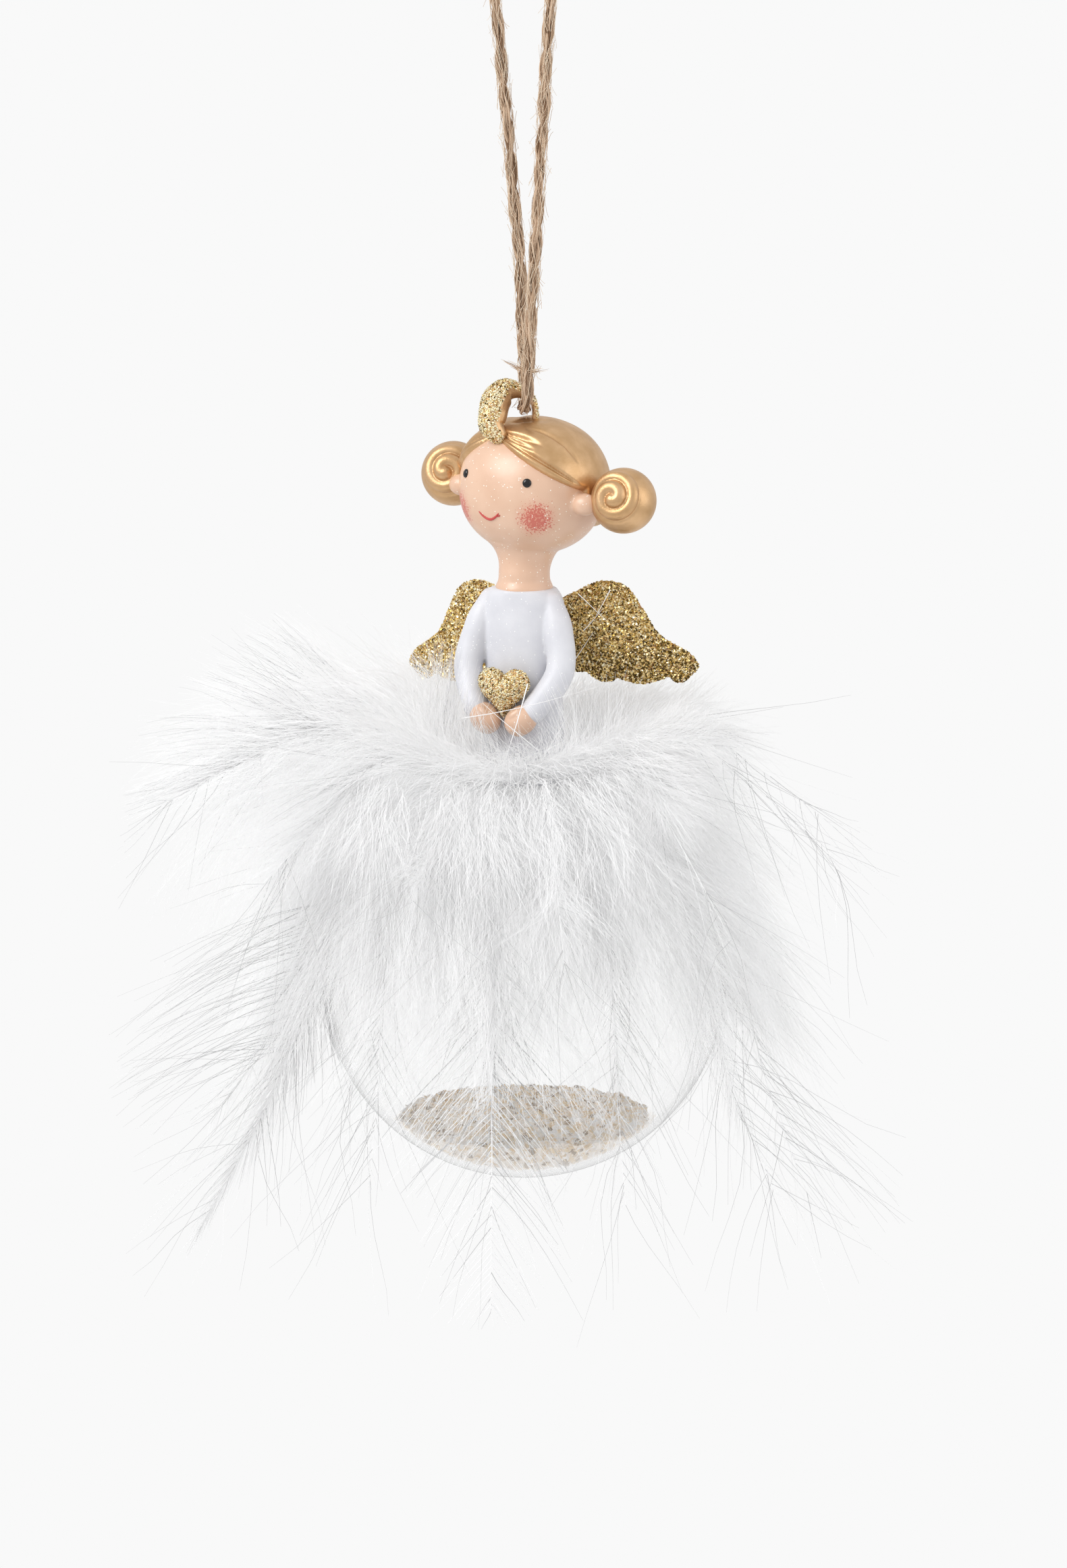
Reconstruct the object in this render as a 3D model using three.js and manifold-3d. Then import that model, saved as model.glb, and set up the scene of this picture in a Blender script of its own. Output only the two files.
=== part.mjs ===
// A hanging ornament: a clear glass ball holding loose glitter, a skirt of white feathers glued round
// the ball's crown, and a small painted resin dancer with gold wings standing on top. The dancer hangs
// by a twine loop from an eye in the gold curl on its head.
// Millimetres, +Z up. The figure's chest faces -Y and its left side is +X. The origin is the inside top
// of the twine loop, where a hook or a branch carries the ornament.
import * as THREE from 'three';
import { LoftGeometry } from 'three/addons/geometries/LoftGeometry.js';
import { mergeVertices } from 'three/addons/utils/BufferGeometryUtils.js';
import Module from 'manifold-3d';

const wasm = await Module();
wasm.setup();

// Gap between pieces that are glued or cut to each other
const GAP = 0.3;

// Glass ball
const BALL_DIAMETER = 60;
const GLASS_WALL = 0.9;
const NECK_DIAMETER = 8.4;
const NECK_HEIGHT = 5.5;

// Loose glitter in the ball
const FILL_DEPTH = 7.4;
const FILL_HEAP = 1.7;
const FILL_CLEARANCE = 0.45;

// Bodice, heights above the ball's crown
const HEM_WIDTH = 12.6;
const HEM_DEPTH = 11.4;
const WAIST_WIDTH = 11.4;
const WAIST_DEPTH = 10;
const WAIST_HEIGHT = 14;
const CHEST_WIDTH = 12.8;
const CHEST_DEPTH = 9.4;
const CHEST_HEIGHT = 23.5;
const NECKLINE_WIDTH = 9.6;
const NECKLINE_DEPTH = 8.8;
const NECKLINE_HEIGHT = 28.2;

// Arms
const SHOULDER_HEIGHT = 25;
const ELBOW_HEIGHT = 16.5;
const ELBOW_SPREAD = 7.4;
const ELBOW_FORWARD = 3.6;
const WRIST_HEIGHT = 11.2;
const WRIST_SPREAD = 4.7;
const WRIST_FORWARD = 6.6;
const SHOULDER_DIAMETER = 4.4;
const ELBOW_DIAMETER = 4.3;
const CUFF_DIAMETER = 3.9;
const HAND_LENGTH = 5;
const HAND_WIDTH = 4.2;
const FINGER_DIAMETER = 1.25;

// Heart held in front
const HEART_WIDTH = 8;
const HEART_HEIGHT = 7.2;
const HEART_THICKNESS = 3.8;
const HEART_LEVEL = 14.4;
const HEART_FORWARD = 7;

// Wings
const WING_SPAN = 24;
const WING_TOP = 28.2;
const WING_BOTTOM = 13;
const WING_THICKNESS = 1.8;
const WING_SWEEP = 10;
const WING_LEAN = 3.3;
const WING_ROOT = 2.4;

// Head and neck
const HEAD_WIDTH = 21.4;
const HEAD_DEPTH = 20.2;
const HEAD_HEIGHT = 19.4;
const HEAD_FULLNESS = 2.15;
const HEAD_LEVEL = 42.7;
const HEAD_SET_BACK = 1.85;
const HEAD_TURN = 13;
const HEAD_TILT = 2.4;
const NECK_SLIM_DIAMETER = 7.5;
const NECK_FILLET = 5.3;
const NECK_LEAN = 1.2;
const NECK_PEG_DIAMETER = 5.4;
const NECK_PEG_LENGTH = 3.6;
const EAR_HEIGHT = 3.3;
const EAR_DEPTH = 3.4;
const EAR_PROUD = 2.1;
const EAR_DROP = 0.8;
const EAR_FORWARD = 2.2;

// Hair
const HAIR_THICKNESS = 0.9;
const PARTING_OFFSET = 2.2;
const PARTING_HEIGHT = 8;
const HAIRLINE_DROP = 6.6;
const NAPE_SLOPE = 30;
const BUN_DIAMETER = 9.6;
const BUN_LOCK_DIAMETER = 2.6;
const BUN_TURNS = 2.6;
const BUN_SET_BACK = 1;
const LEFT_BUN_NEST = 0.3;
const RIGHT_BUN_NEST = 0.9;

// Twine loop and the eye in the curl
const TWINE_DIAMETER = 1.7;
const EYE_CLEARANCE = 0.3;
const EYE_TURN = 25;
const LOOP_HEIGHT = 74;
const KNOT_DIAMETER = 4.4;
const KNOT_HEIGHT = 4;
const KNOT_TAIL = 9;

// Feather skirt
const FEATHERS_PER_LAYER = 11;
const FEATHER_WIDTH = 15;
const FEATHER_THICKNESS = 0.9;
const QUILL_WIDTH = 1.2;
const FEATHER_ROOT_GAP = 2.1;
const DRAPE_LAY = 1.1;

const BALL_RADIUS = BALL_DIAMETER / 2;
const SECTOR = 360 / FEATHERS_PER_LAYER;
const radians = THREE.MathUtils.degToRad;

// A closed mesh as a solid for cutting and joining. Triangles that a pole has shrunk to a line are left out.
function solid(geometry) {
  const bare = new THREE.BufferGeometry();
  bare.setAttribute('position', geometry.getAttribute('position').clone());
  bare.setIndex(geometry.index);
  const merged = mergeVertices(bare, 1e-4);
  const corners = merged.index.array;
  const triangles = [];
  for (let i = 0; i < corners.length; i += 3) {
    const [a, b, c] = corners.slice(i, i + 3);
    if (a !== b && b !== c && c !== a) triangles.push(a, b, c);
  }
  return new wasm.Manifold(new wasm.Mesh({
    numProp: 3,
    vertProperties: new Float32Array(merged.getAttribute('position').array),
    triVerts: new Uint32Array(triangles),
  }));
}

function geometryOf(body) {
  const { numProp, vertProperties, triVerts } = body.getMesh();
  const geometry = new THREE.BufferGeometry();
  geometry.setAttribute('position', new THREE.BufferAttribute(vertProperties, numProp));
  geometry.setIndex([...triVerts]);
  geometry.computeVertexNormals();
  return geometry;
}

function finish(color, roughness, metalness = 0) {
  return new THREE.MeshStandardMaterial({ color, roughness, metalness });
}

const glass = () => finish('#eef2f2', 0.05);
const glitter = () => finish('#b99a5f', 0.35, 0.7);
const goldPaint = () => finish('#c9a262', 0.38, 0.45);
const skin = () => finish('#eec3a6', 0.5);
const whiteResin = () => finish('#f1efec', 0.45);
const featherWhite = () => finish('#f4f4f5', 0.9);
const jute = () => finish('#b9935f', 0.95);

// A body turned about the vertical axis from (radius, height) points that run upwards on its outside
function turned(profile, segments) {
  const points = profile.map(([radius, height]) => new THREE.Vector2(radius, height));
  return new THREE.LatheGeometry(points, segments).rotateX(Math.PI / 2);
}

// A round body like an egg or a cushion: fullness 2 is an ellipsoid and more is squarer
function roundBody(width, depth, height, fullness, columns, rows) {
  const power = 2 / fullness;
  const profile = [];
  for (let i = 0; i <= rows; i++) {
    const angle = Math.PI * (i / rows - 0.5);
    const level = Math.sign(angle) * Math.abs(Math.sin(angle)) ** power;
    const radius = i % rows === 0 ? 0 : Math.cos(angle) ** power;
    profile.push([radius, level]);
  }
  return turned(profile, columns).scale(width / 2, depth / 2, height / 2);
}

// A tapered round limb along a curve. radii are [along, across] pairs spread evenly from end to end.
function limb(points, radii, columns, rows, across) {
  const path = new THREE.CatmullRomCurve3(points, false, 'centripetal');
  const sizes = new THREE.CatmullRomCurve3(radii.map(([a, b]) => new THREE.Vector3(a, b, 0)));
  const sections = [];
  for (let i = 0; i <= rows; i++) {
    const along = i / rows;
    const tangent = path.getTangent(along);
    const side = new THREE.Vector3().crossVectors(across, tangent).normalize();
    const front = new THREE.Vector3().crossVectors(tangent, side);
    const size = sizes.getPoint(along);
    const ring = [];
    for (let j = 0; j < columns; j++) {
      const angle = (2 * Math.PI * j) / columns;
      const point = path.getPoint(along);
      point.addScaledVector(side, size.x * Math.cos(angle));
      point.addScaledVector(front, size.y * Math.sin(angle));
      ring.push(point);
    }
    sections.push(ring);
  }
  return new LoftGeometry(sections, { capStart: true, capEnd: true });
}

const ornament = new THREE.Group();
const group = new THREE.Group();
group.add(ornament);

function addPiece(name, shape, material, parent = ornament) {
  const geometry = shape instanceof THREE.BufferGeometry ? shape : geometryOf(shape);
  const mesh = new THREE.Mesh(geometry, material);
  mesh.name = name;
  parent.add(mesh);
  return mesh;
}

// Glass ball: blown shell with an open neck at its crown. Its crown is the level 0 of the ornament.
function ballProfile(radius, neckRadius, arcs) {
  const end = Math.PI - Math.asin(neckRadius / radius);
  const points = [];
  for (let i = 0; i <= arcs; i++) {
    const angle = (end * i) / arcs;
    points.push([radius * Math.sin(angle), -BALL_RADIUS - radius * Math.cos(angle)]);
  }
  return points;
}

const neckRadius = NECK_DIAMETER / 2;
const innerRadius = BALL_RADIUS - GLASS_WALL;
const ballOutside = ballProfile(BALL_RADIUS, neckRadius, 14);
const ballInside = ballProfile(innerRadius, neckRadius - GLASS_WALL, 13);
const rim = [[neckRadius, NECK_HEIGHT], [neckRadius - GLASS_WALL, NECK_HEIGHT]];
addPiece('glass_ball', turned([...ballOutside, ...rim, ...ballInside.reverse()], 36), glass());

// Loose glitter: fills the ball's lowest part and is heaped a little in the middle
function fillGeometry() {
  const radius = innerRadius - FILL_CLEARANCE;
  const floor = -BALL_RADIUS - radius;
  const level = floor + FILL_DEPTH;
  const edge = Math.acos((radius - FILL_DEPTH) / radius);
  const steps = 7;
  const profile = [];
  for (let i = 0; i <= steps; i++) {
    const angle = (edge * i) / steps;
    profile.push([radius * Math.sin(angle), -BALL_RADIUS - radius * Math.cos(angle)]);
  }
  const brim = radius * Math.sin(edge);
  profile.push([brim * 0.72, level + FILL_HEAP * 0.45]);
  profile.push([brim * 0.38, level + FILL_HEAP * 0.9]);
  profile.push([0, level + FILL_HEAP]);
  return turned(profile, 28);
}
addPiece('glitter_fill', fillGeometry(), finish('#c7b793', 0.4, 0.5));

// Bodice: one lofted body from the hem to the neckline, widened all round by grow for cutting tools
function bodiceBody(grow) {
  const seat = -HEM_WIDTH / 8;
  const levels = [
    [HEM_WIDTH, HEM_DEPTH, seat],
    [HEM_WIDTH, HEM_DEPTH, WAIST_HEIGHT * 0.35],
    [WAIST_WIDTH, WAIST_DEPTH, WAIST_HEIGHT],
    [CHEST_WIDTH, CHEST_DEPTH, CHEST_HEIGHT],
    [(CHEST_WIDTH + NECKLINE_WIDTH) / 2 + 0.6, NECKLINE_DEPTH + 0.3,
      (CHEST_HEIGHT + 2 * NECKLINE_HEIGHT) / 3],
    [NECKLINE_WIDTH, NECKLINE_DEPTH, NECKLINE_HEIGHT],
  ];
  const points = levels.map((level) => new THREE.Vector3(...level));
  const outline = new THREE.CatmullRomCurve3(points, false, 'centripetal');
  const rows = 11;
  const columns = 20;
  const sections = [];
  for (let i = 0; i <= rows; i++) {
    const { x: width, y: depth, z } = outline.getPoint(i / rows);
    const lift = i === rows ? grow : 0;
    const ring = [];
    for (let j = 0; j < columns; j++) {
      const angle = (2 * Math.PI * j) / columns;
      const x = (width / 2 + grow) * Math.cos(angle);
      ring.push(new THREE.Vector3(x, (depth / 2 + grow) * Math.sin(angle), z + lift));
    }
    sections.push(ring);
  }
  return solid(new LoftGeometry(sections, { capStart: true, capEnd: true }));
}

const ballSeat = solid(turned(ballProfile(BALL_RADIUS + GAP, 0.01, 24).concat([[0, GAP]]), 40));
const socketRadius = neckRadius + GAP;
const socketTop = NECK_HEIGHT + GAP;
const neckSocket = solid(turned([[0, -BALL_RADIUS], [socketRadius, -BALL_RADIUS], [socketRadius, socketTop],
  [0, socketTop]], 28));
const pegRadius = NECK_PEG_DIAMETER / 2;
const pegBottom = NECKLINE_HEIGHT - NECK_PEG_LENGTH;
const pegSocket = solid(turned([[0, pegBottom - GAP], [pegRadius + GAP, pegBottom - GAP],
  [pegRadius + GAP, NECKLINE_HEIGHT + 1], [0, NECKLINE_HEIGHT + 1]], 20));
addPiece('bodice', bodiceBody(0).subtract(ballSeat).subtract(neckSocket).subtract(pegSocket), whiteResin());
const bodiceTool = bodiceBody(GAP);

// Heart: puffed, with its point down between the hands
function heartBody(grow) {
  const half = HEART_WIDTH / 2;
  const top = HEART_HEIGHT * 0.42;
  const dip = HEART_HEIGHT * 0.22;
  const tip = -HEART_HEIGHT * 0.58;
  const puff = HEART_THICKNESS * 0.42;
  const shape = new THREE.Shape();
  shape.moveTo(0, dip);
  shape.bezierCurveTo(half * 0.15, top * 1.16, half * 1.02, top * 1.22, half, dip * 0.5);
  shape.bezierCurveTo(half * 0.96, -HEART_HEIGHT * 0.2, half * 0.32, tip * 0.72, 0, tip);
  shape.bezierCurveTo(-half * 0.32, tip * 0.72, -half * 0.96, -HEART_HEIGHT * 0.2, -half, dip * 0.5);
  shape.bezierCurveTo(-half * 1.02, top * 1.22, -half * 0.15, top * 1.16, 0, dip);
  const geometry = new THREE.ExtrudeGeometry(shape, {
    depth: HEART_THICKNESS - 2 * puff,
    curveSegments: 6,
    bevelThickness: puff + grow,
    bevelSize: HEART_WIDTH * 0.12,
    bevelOffset: grow - HEART_WIDTH * 0.12,
    bevelSegments: 3,
  });
  geometry.translate(0, 0, puff - HEART_THICKNESS / 2).rotateX(Math.PI / 2);
  return solid(geometry.translate(0, -HEART_FORWARD, HEART_LEVEL));
}
addPiece('heart', heartBody(0).subtract(bodiceTool), glitter());
const heartTool = heartBody(GAP);

// Sleeve and hand of one arm: the arm hangs from the shoulder and bends forward to hold the heart
function armPath(side) {
  const shoulder = new THREE.Vector3(side * (CHEST_WIDTH / 2 - 0.5), -1.2, SHOULDER_HEIGHT);
  const elbow = new THREE.Vector3(side * ELBOW_SPREAD, -ELBOW_FORWARD, ELBOW_HEIGHT);
  const wrist = new THREE.Vector3(side * WRIST_SPREAD, -WRIST_FORWARD, WRIST_HEIGHT);
  return [shoulder, elbow, wrist];
}

function sleeveBody(side, grow) {
  const radii = [SHOULDER_DIAMETER * 0.36, SHOULDER_DIAMETER / 2, ELBOW_DIAMETER / 2, CUFF_DIAMETER / 2];
  const [shoulder, elbow, wrist] = armPath(side);
  const cap = shoulder.clone().add(new THREE.Vector3(-side * 0.9, 0.2, SHOULDER_DIAMETER * 0.32));
  const upper = shoulder.clone().lerp(elbow, 0.3);
  const across = new THREE.Vector3(0, 1, 0.3);
  const sizes = radii.map((radius) => [radius + grow, radius + grow]);
  return solid(limb([cap, upper, elbow, wrist], sizes, 12, 9, across));
}

function handBody(side) {
  const [, elbow, wrist] = armPath(side);
  const reach = new THREE.Vector3(-side * WRIST_SPREAD * 0.62, -1, -WRIST_HEIGHT * 0.2).normalize();
  const start = wrist.clone().add(wrist.clone().sub(elbow).setLength(GAP));
  const centre = start.clone().addScaledVector(reach, HAND_LENGTH * 0.45);
  const turn = new THREE.Quaternion().setFromUnitVectors(new THREE.Vector3(0, 0, 1), reach);
  const palm = roundBody(HAND_WIDTH * 0.82, HAND_WIDTH, HAND_LENGTH, 2.2, 10, 7);
  let hand = solid(palm.applyQuaternion(turn).translate(centre.x, centre.y, centre.z));
  const fingers = 3;
  for (let i = 0; i < fingers; i++) {
    const finger = roundBody(FINGER_DIAMETER, FINGER_DIAMETER, HAND_LENGTH * 0.62, 2.4, 6, 5);
    const place = centre.clone().addScaledVector(reach, HAND_LENGTH * 0.22);
    place.y -= HAND_WIDTH * 0.36;
    place.z += (i - 1) * FINGER_DIAMETER * 0.95;
    hand = hand.add(solid(finger.applyQuaternion(turn).translate(place.x, place.y, place.z)));
  }
  return hand;
}

for (const [name, side] of [['left', 1], ['right', -1]]) {
  const sleeve = sleeveBody(side, 0).subtract(bodiceTool).subtract(heartTool);
  addPiece(`${name}_sleeve`, sleeve, whiteResin());
  const midline = new THREE.BoxGeometry(HEAD_WIDTH, HEAD_DEPTH, 2 * SHOULDER_HEIGHT);
  const farSide = solid(midline.translate(side * (GAP / 2 - HEAD_WIDTH / 2), -HEAD_DEPTH / 2, 0));
  const hand = handBody(side).subtract(sleeveBody(side, GAP)).subtract(bodiceTool);
  addPiece(`${name}_hand`, hand.subtract(heartTool).subtract(farSide), skin());
}

// Wings: flat plates with a rounded shoulder, a pointed tip and four scallops along the lower edge, glued
// to the back as a pair that leans a little
function wingBody(side) {
  const tall = WING_TOP - WING_BOTTOM;
  const inner = WING_ROOT / WING_SPAN;
  const at = (across, up) => new THREE.Vector2(side * across * WING_SPAN, (up - 0.5) * tall);
  const upper = [at(inner, 0.8), at(0.22, 0.88), at(0.42, 1), at(0.56, 0.95), at(0.66, 0.74), at(0.77, 0.46),
    at(0.95, 0.28), at(1, 0.15), at(0.95, 0.06)];
  const scallops = [[0.95, 0.06], [0.81, 0.06], [0.49, 0.05], [0.29, 0.12], [inner, 0.3]];
  const shape = new THREE.Shape();
  shape.moveTo(upper[0].x, upper[0].y);
  shape.splineThru(upper.slice(1));
  for (let i = 1; i < scallops.length; i++) {
    const [fromAcross, fromUp] = scallops[i - 1];
    const [across, up] = scallops[i];
    const hang = at((fromAcross + across) / 2, (fromUp + up) / 2 - 0.13);
    const end = at(across, up);
    shape.quadraticCurveTo(hang.x, hang.y, end.x, end.y);
  }
  shape.closePath();
  const round = WING_THICKNESS * 0.28;
  const plate = new THREE.ExtrudeGeometry(shape, {
    depth: WING_THICKNESS - 2 * round,
    curveSegments: 4,
    bevelThickness: round,
    bevelSize: round,
    bevelOffset: -round,
    bevelSegments: 1,
  });
  plate.rotateX(Math.PI / 2).rotateZ(side * radians(WING_SWEEP)).rotateY(-radians(WING_LEAN));
  const middle = (WING_TOP + WING_BOTTOM) / 2;
  return solid(plate.translate(0, WAIST_DEPTH / 2, middle)).subtract(bodiceTool);
}
addPiece('left_wing', wingBody(1), glitter());
addPiece('right_wing', wingBody(-1), glitter());

// Head: everything on it is placed about the head's middle, with the face to -Y, and then turned to the
// figure's right and tilted
const headPlace = new THREE.Matrix4()
  .makeRotationZ(-radians(HEAD_TURN))
  .setPosition(
    HEAD_SET_BACK * Math.sin(radians(HEAD_TURN)), HEAD_SET_BACK * Math.cos(radians(HEAD_TURN)), HEAD_LEVEL)
  .multiply(new THREE.Matrix4().makeRotationY(radians(HEAD_TILT)));
const onHead = (geometry) => solid(geometry.applyMatrix4(headPlace));

function skullBody(grow) {
  const more = 2 * grow;
  return onHead(roundBody(HEAD_WIDTH + more, HEAD_DEPTH + more, HEAD_HEIGHT + more, HEAD_FULLNESS, 24, 14));
}

function earBody(side, grow) {
  const more = 2 * grow;
  const ear = roundBody(2 * EAR_PROUD + more, EAR_DEPTH + more, EAR_HEIGHT + more, 2, 10, 8);
  const depthShare = EAR_FORWARD / (HEAD_DEPTH / 2);
  const cheek = (HEAD_WIDTH / 2) * Math.sqrt(1 - depthShare ** 2);
  return onHead(ear.translate(side * (cheek + EAR_PROUD * 0.45), -EAR_FORWARD, -EAR_DROP));
}

// Neck: stands on the neckline with a peg in the bodice, and spreads into the jaw with a round fillet that
// leans back to the skull
function neckBody(grow) {
  const slim = NECK_SLIM_DIAMETER / 2 + grow;
  const base = NECKLINE_WIDTH / 2 - 0.2 + grow;
  const foot = NECKLINE_HEIGHT + GAP - grow;
  const rise = HEAD_LEVEL - HEAD_HEIGHT / 2 - foot;
  const throat = foot + rise * 0.5;
  const spread = radians(54);
  const profile = [[0, pegBottom], [pegRadius, pegBottom], [pegRadius, foot], [base, foot],
    [(base + slim) / 2 - 0.2, foot + rise * 0.22]];
  const steps = 5;
  for (let i = 0; i <= steps; i++) {
    const angle = (spread * i) / steps;
    profile.push([slim + NECK_FILLET * (1 - Math.cos(angle)), throat + NECK_FILLET * Math.sin(angle)]);
  }
  profile.push([0, HEAD_LEVEL - HEAD_HEIGHT * 0.25]);
  const neck = turned(profile, 20);
  const points = neck.getAttribute('position');
  for (let i = 0; i < points.count; i++) {
    const share = Math.max(0, points.getZ(i) - throat) / (NECK_FILLET * Math.sin(spread));
    points.setY(i, points.getY(i) + NECK_LEAN * share);
  }
  return solid(neck);
}

const ears = [earBody(1, 0), earBody(-1, 0)];
addPiece('head', skullBody(0).add(neckBody(0)).add(ears[0]).add(ears[1]), skin());

// Hair cap: a shell on the skull, open over the face under two locks swept from a side parting and cut
// off at the nape
function faceOpening() {
  const wide = HEAD_WIDTH;
  const ends = PARTING_HEIGHT - HAIRLINE_DROP;
  const reach = HEAD_WIDTH / 2 - 0.7;
  const shape = new THREE.Shape();
  shape.moveTo(-PARTING_OFFSET, PARTING_HEIGHT);
  shape.quadraticCurveTo(reach * 0.55, PARTING_HEIGHT - 0.9, reach, ends);
  shape.lineTo(wide, ends);
  shape.lineTo(wide, -wide);
  shape.lineTo(-wide, -wide);
  shape.lineTo(-wide, ends);
  shape.lineTo(-reach, ends);
  shape.quadraticCurveTo(-reach * 0.8, PARTING_HEIGHT - 2, -PARTING_OFFSET, PARTING_HEIGHT);
  const opening = new THREE.ExtrudeGeometry(shape, {
    depth: HEAD_DEPTH,
    bevelEnabled: false,
    curveSegments: 8,
  });
  return onHead(opening.rotateX(Math.PI / 2).translate(0, -EAR_FORWARD + EAR_DEPTH * 0.25, 0));
}

const nape = new THREE.BoxGeometry(2 * HEAD_WIDTH, 2 * HEAD_DEPTH, HEAD_HEIGHT);
nape.translate(0, 0, -HEAD_HEIGHT / 2).rotateX(-radians(NAPE_SLOPE));
const belowNape = onHead(nape.translate(0, -EAR_FORWARD, 0));
const earTools = [earBody(1, GAP), earBody(-1, GAP)];
const hair = skullBody(HAIR_THICKNESS).subtract(skullBody(GAP)).subtract(faceOpening()).subtract(belowNape)
  .subtract(neckBody(GAP)).subtract(earTools[0]).subtract(earTools[1]);
addPiece('hair_cap', hair, goldPaint());
const hairTool = skullBody(HAIR_THICKNESS + GAP);

// Buns: one lock of hair coiled into a ball on each side of the head, with the coil's eye to the front
class CoilCurve extends THREE.Curve {
  constructor(side) {
    super();
    this.side = side;
  }

  getPoint(along, target = new THREE.Vector3()) {
    const polar = radians(12 + 108 * along);
    const around = this.side * 2 * Math.PI * BUN_TURNS * along;
    const radius = (BUN_DIAMETER - BUN_LOCK_DIAMETER) / 2;
    const out = radius * Math.sin(polar);
    return target.set(out * Math.cos(around), -radius * Math.cos(polar), out * Math.sin(around));
  }
}

function bunBody(side, nest) {
  const lock = new THREE.Shape().absarc(0, 0, BUN_LOCK_DIAMETER / 2, 0, 2 * Math.PI);
  const coil = new THREE.ExtrudeGeometry(lock, {
    steps: 36,
    curveSegments: 3,
    bevelEnabled: false,
    extrudePath: new CoilCurve(side),
  });
  const core = roundBody(BUN_DIAMETER - 1, BUN_DIAMETER - 0.6, BUN_DIAMETER - 1, 2, 14, 9);
  const across = HEAD_WIDTH / 2 + HAIR_THICKNESS + BUN_DIAMETER / 2 - nest;
  const [lower, upper] = [coil, core].map((piece) => onHead(piece.translate(side * across, BUN_SET_BACK, 0)));
  return lower.add(upper).subtract(hairTool);
}
addPiece('left_bun', bunBody(1, LEFT_BUN_NEST).subtract(earTools[0]), goldPaint());
addPiece('right_bun', bunBody(-1, RIGHT_BUN_NEST).subtract(earTools[1]), goldPaint());

// Curl and twine share the eye's frame: X across the eye, -Y through it to the front, Z up from its middle
const hairTop = HEAD_LEVEL + HEAD_HEIGHT / 2 + HAIR_THICKNESS;
const eyeLevel = hairTop + EYE_CLEARANCE + TWINE_DIAMETER / 2;
const eyeFrame = new THREE.Matrix4().makeRotationZ(radians(EYE_TURN)).setPosition(0, 0, eyeLevel);

// Crown curl: a horn that rises from the parting, swells, arches over the twine and thins towards its end
// on the crown. Rows are the angle round the eye, the radius of the horn, how far it stands off the twine
// and how far it lies in front of the eye.
function curlBody() {
  const rows = [[222, 1.3, 2.6, 3.4], [205, 1.8, 2.2, 3], [185, 2.1, 1.25, 2], [160, 2.15, 0.9, 0.8],
    [133, 1.75, 0.85, 0.3], [108, 1.05, 0.55, 0.1], [62, 0.65, 0.25, 0], [7, 0.55, 0.05, 0],
    [-46, 0.55, 0.8, 0]];
  const place = ([angle, radius, standOff, forward]) => {
    const distance = TWINE_DIAMETER / 2 + EYE_CLEARANCE + standOff + radius;
    const turn = radians(angle);
    return new THREE.Vector3(distance * Math.cos(turn), -forward, distance * Math.sin(turn));
  };
  const radii = rows.map(([, radius]) => [radius, radius * 0.85]);
  const horn = limb(rows.map(place), radii, 10, 16, new THREE.Vector3(0, 1, 0));
  return solid(horn.applyMatrix4(eyeFrame)).subtract(hairTool);
}
addPiece('crown_curl', curlBody(), goldPaint());

// Twine loop: one length from the knot down through the eye and up again. The points run in the eye's
// frame and are closer in the bends, where the tube takes more steps.
class RouteCurve extends THREE.CatmullRomCurve3 {
  getUtoTmapping(share) {
    return share;
  }
}

const route = [[1.2, 0, 76.6], [2.2, 0, 75], [3.9, 0, 73.2], [4.6, 0, 70.5], [4.3, -0.1, 66], [3.3, -0.7, 52],
  [2.35, -1.6, 36], [1.4, -2.5, 20], [0.75, -3.2, 9], [0.6, -3.4, 5], [0.5, -3.2, 2.3], [0.3, -2.4, 1],
  [0.1, -1.2, 0.22], [0, 0, 0], [0, 1.2, 0.22], [0, 2.4, 1], [0, 3.2, 2.3], [-0.05, 3.4, 5], [-0.15, 3.2, 9],
  [-0.6, 2.5, 20], [-1.95, 1.6, 36], [-3.45, 0.7, 52], [-4.7, 0.1, 66], [-4.8, 0, 70.5], [-3.9, 0, 73.2],
  [-2.2, 0, 75], [-1.2, 0, 76.6]];
const twine = new THREE.Group();
twine.rotation.z = radians(EYE_TURN);
twine.position.z = -LOOP_HEIGHT;
group.add(twine);
const strand = new THREE.Shape().absarc(0, 0, TWINE_DIAMETER / 2, 0, 2 * Math.PI);
const loop = new THREE.ExtrudeGeometry(strand, {
  steps: 2 * (route.length - 1),
  curveSegments: 4,
  bevelEnabled: false,
  extrudePath: new RouteCurve(route.map((point) => new THREE.Vector3(...point)), false, 'centripetal'),
});
addPiece('twine_loop', loop, jute(), twine);

// Knot: the two ends tied together above the loop, with short cut tails
function knotBody() {
  const foot = route[0][2] + GAP;
  const half = KNOT_DIAMETER / 2;
  const wrap = KNOT_HEIGHT / 2;
  const barrel = [[0, 0], [half * 0.72, 0], [half, wrap * 0.4], [half, wrap * 0.7], [half * 0.84, wrap],
    [half, wrap * 1.3], [half, wrap * 1.6], [half * 0.72, KNOT_HEIGHT], [0, KNOT_HEIGHT]];
  let knot = solid(turned(barrel, 16).translate(0, 0, foot));
  for (const side of [1, -1]) {
    const tail = new THREE.CatmullRomCurve3([
      new THREE.Vector3(side * half * 0.3, 0, foot + KNOT_HEIGHT * 0.6),
      new THREE.Vector3(side * half * 0.55, 0, foot + KNOT_HEIGHT + KNOT_TAIL * 0.3),
      new THREE.Vector3(side * (half + KNOT_TAIL * 0.2), 0, foot + KNOT_HEIGHT + KNOT_TAIL * 0.8),
    ]);
    const end = new THREE.ExtrudeGeometry(strand, {
      steps: 5,
      curveSegments: 4,
      bevelEnabled: false,
      extrudePath: tail,
    });
    knot = knot.add(solid(end));
  }
  return knot;
}
addPiece('twine_knot', knotBody(), jute(), twine);
ornament.position.z = -LOOP_HEIGHT - eyeLevel;

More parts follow.
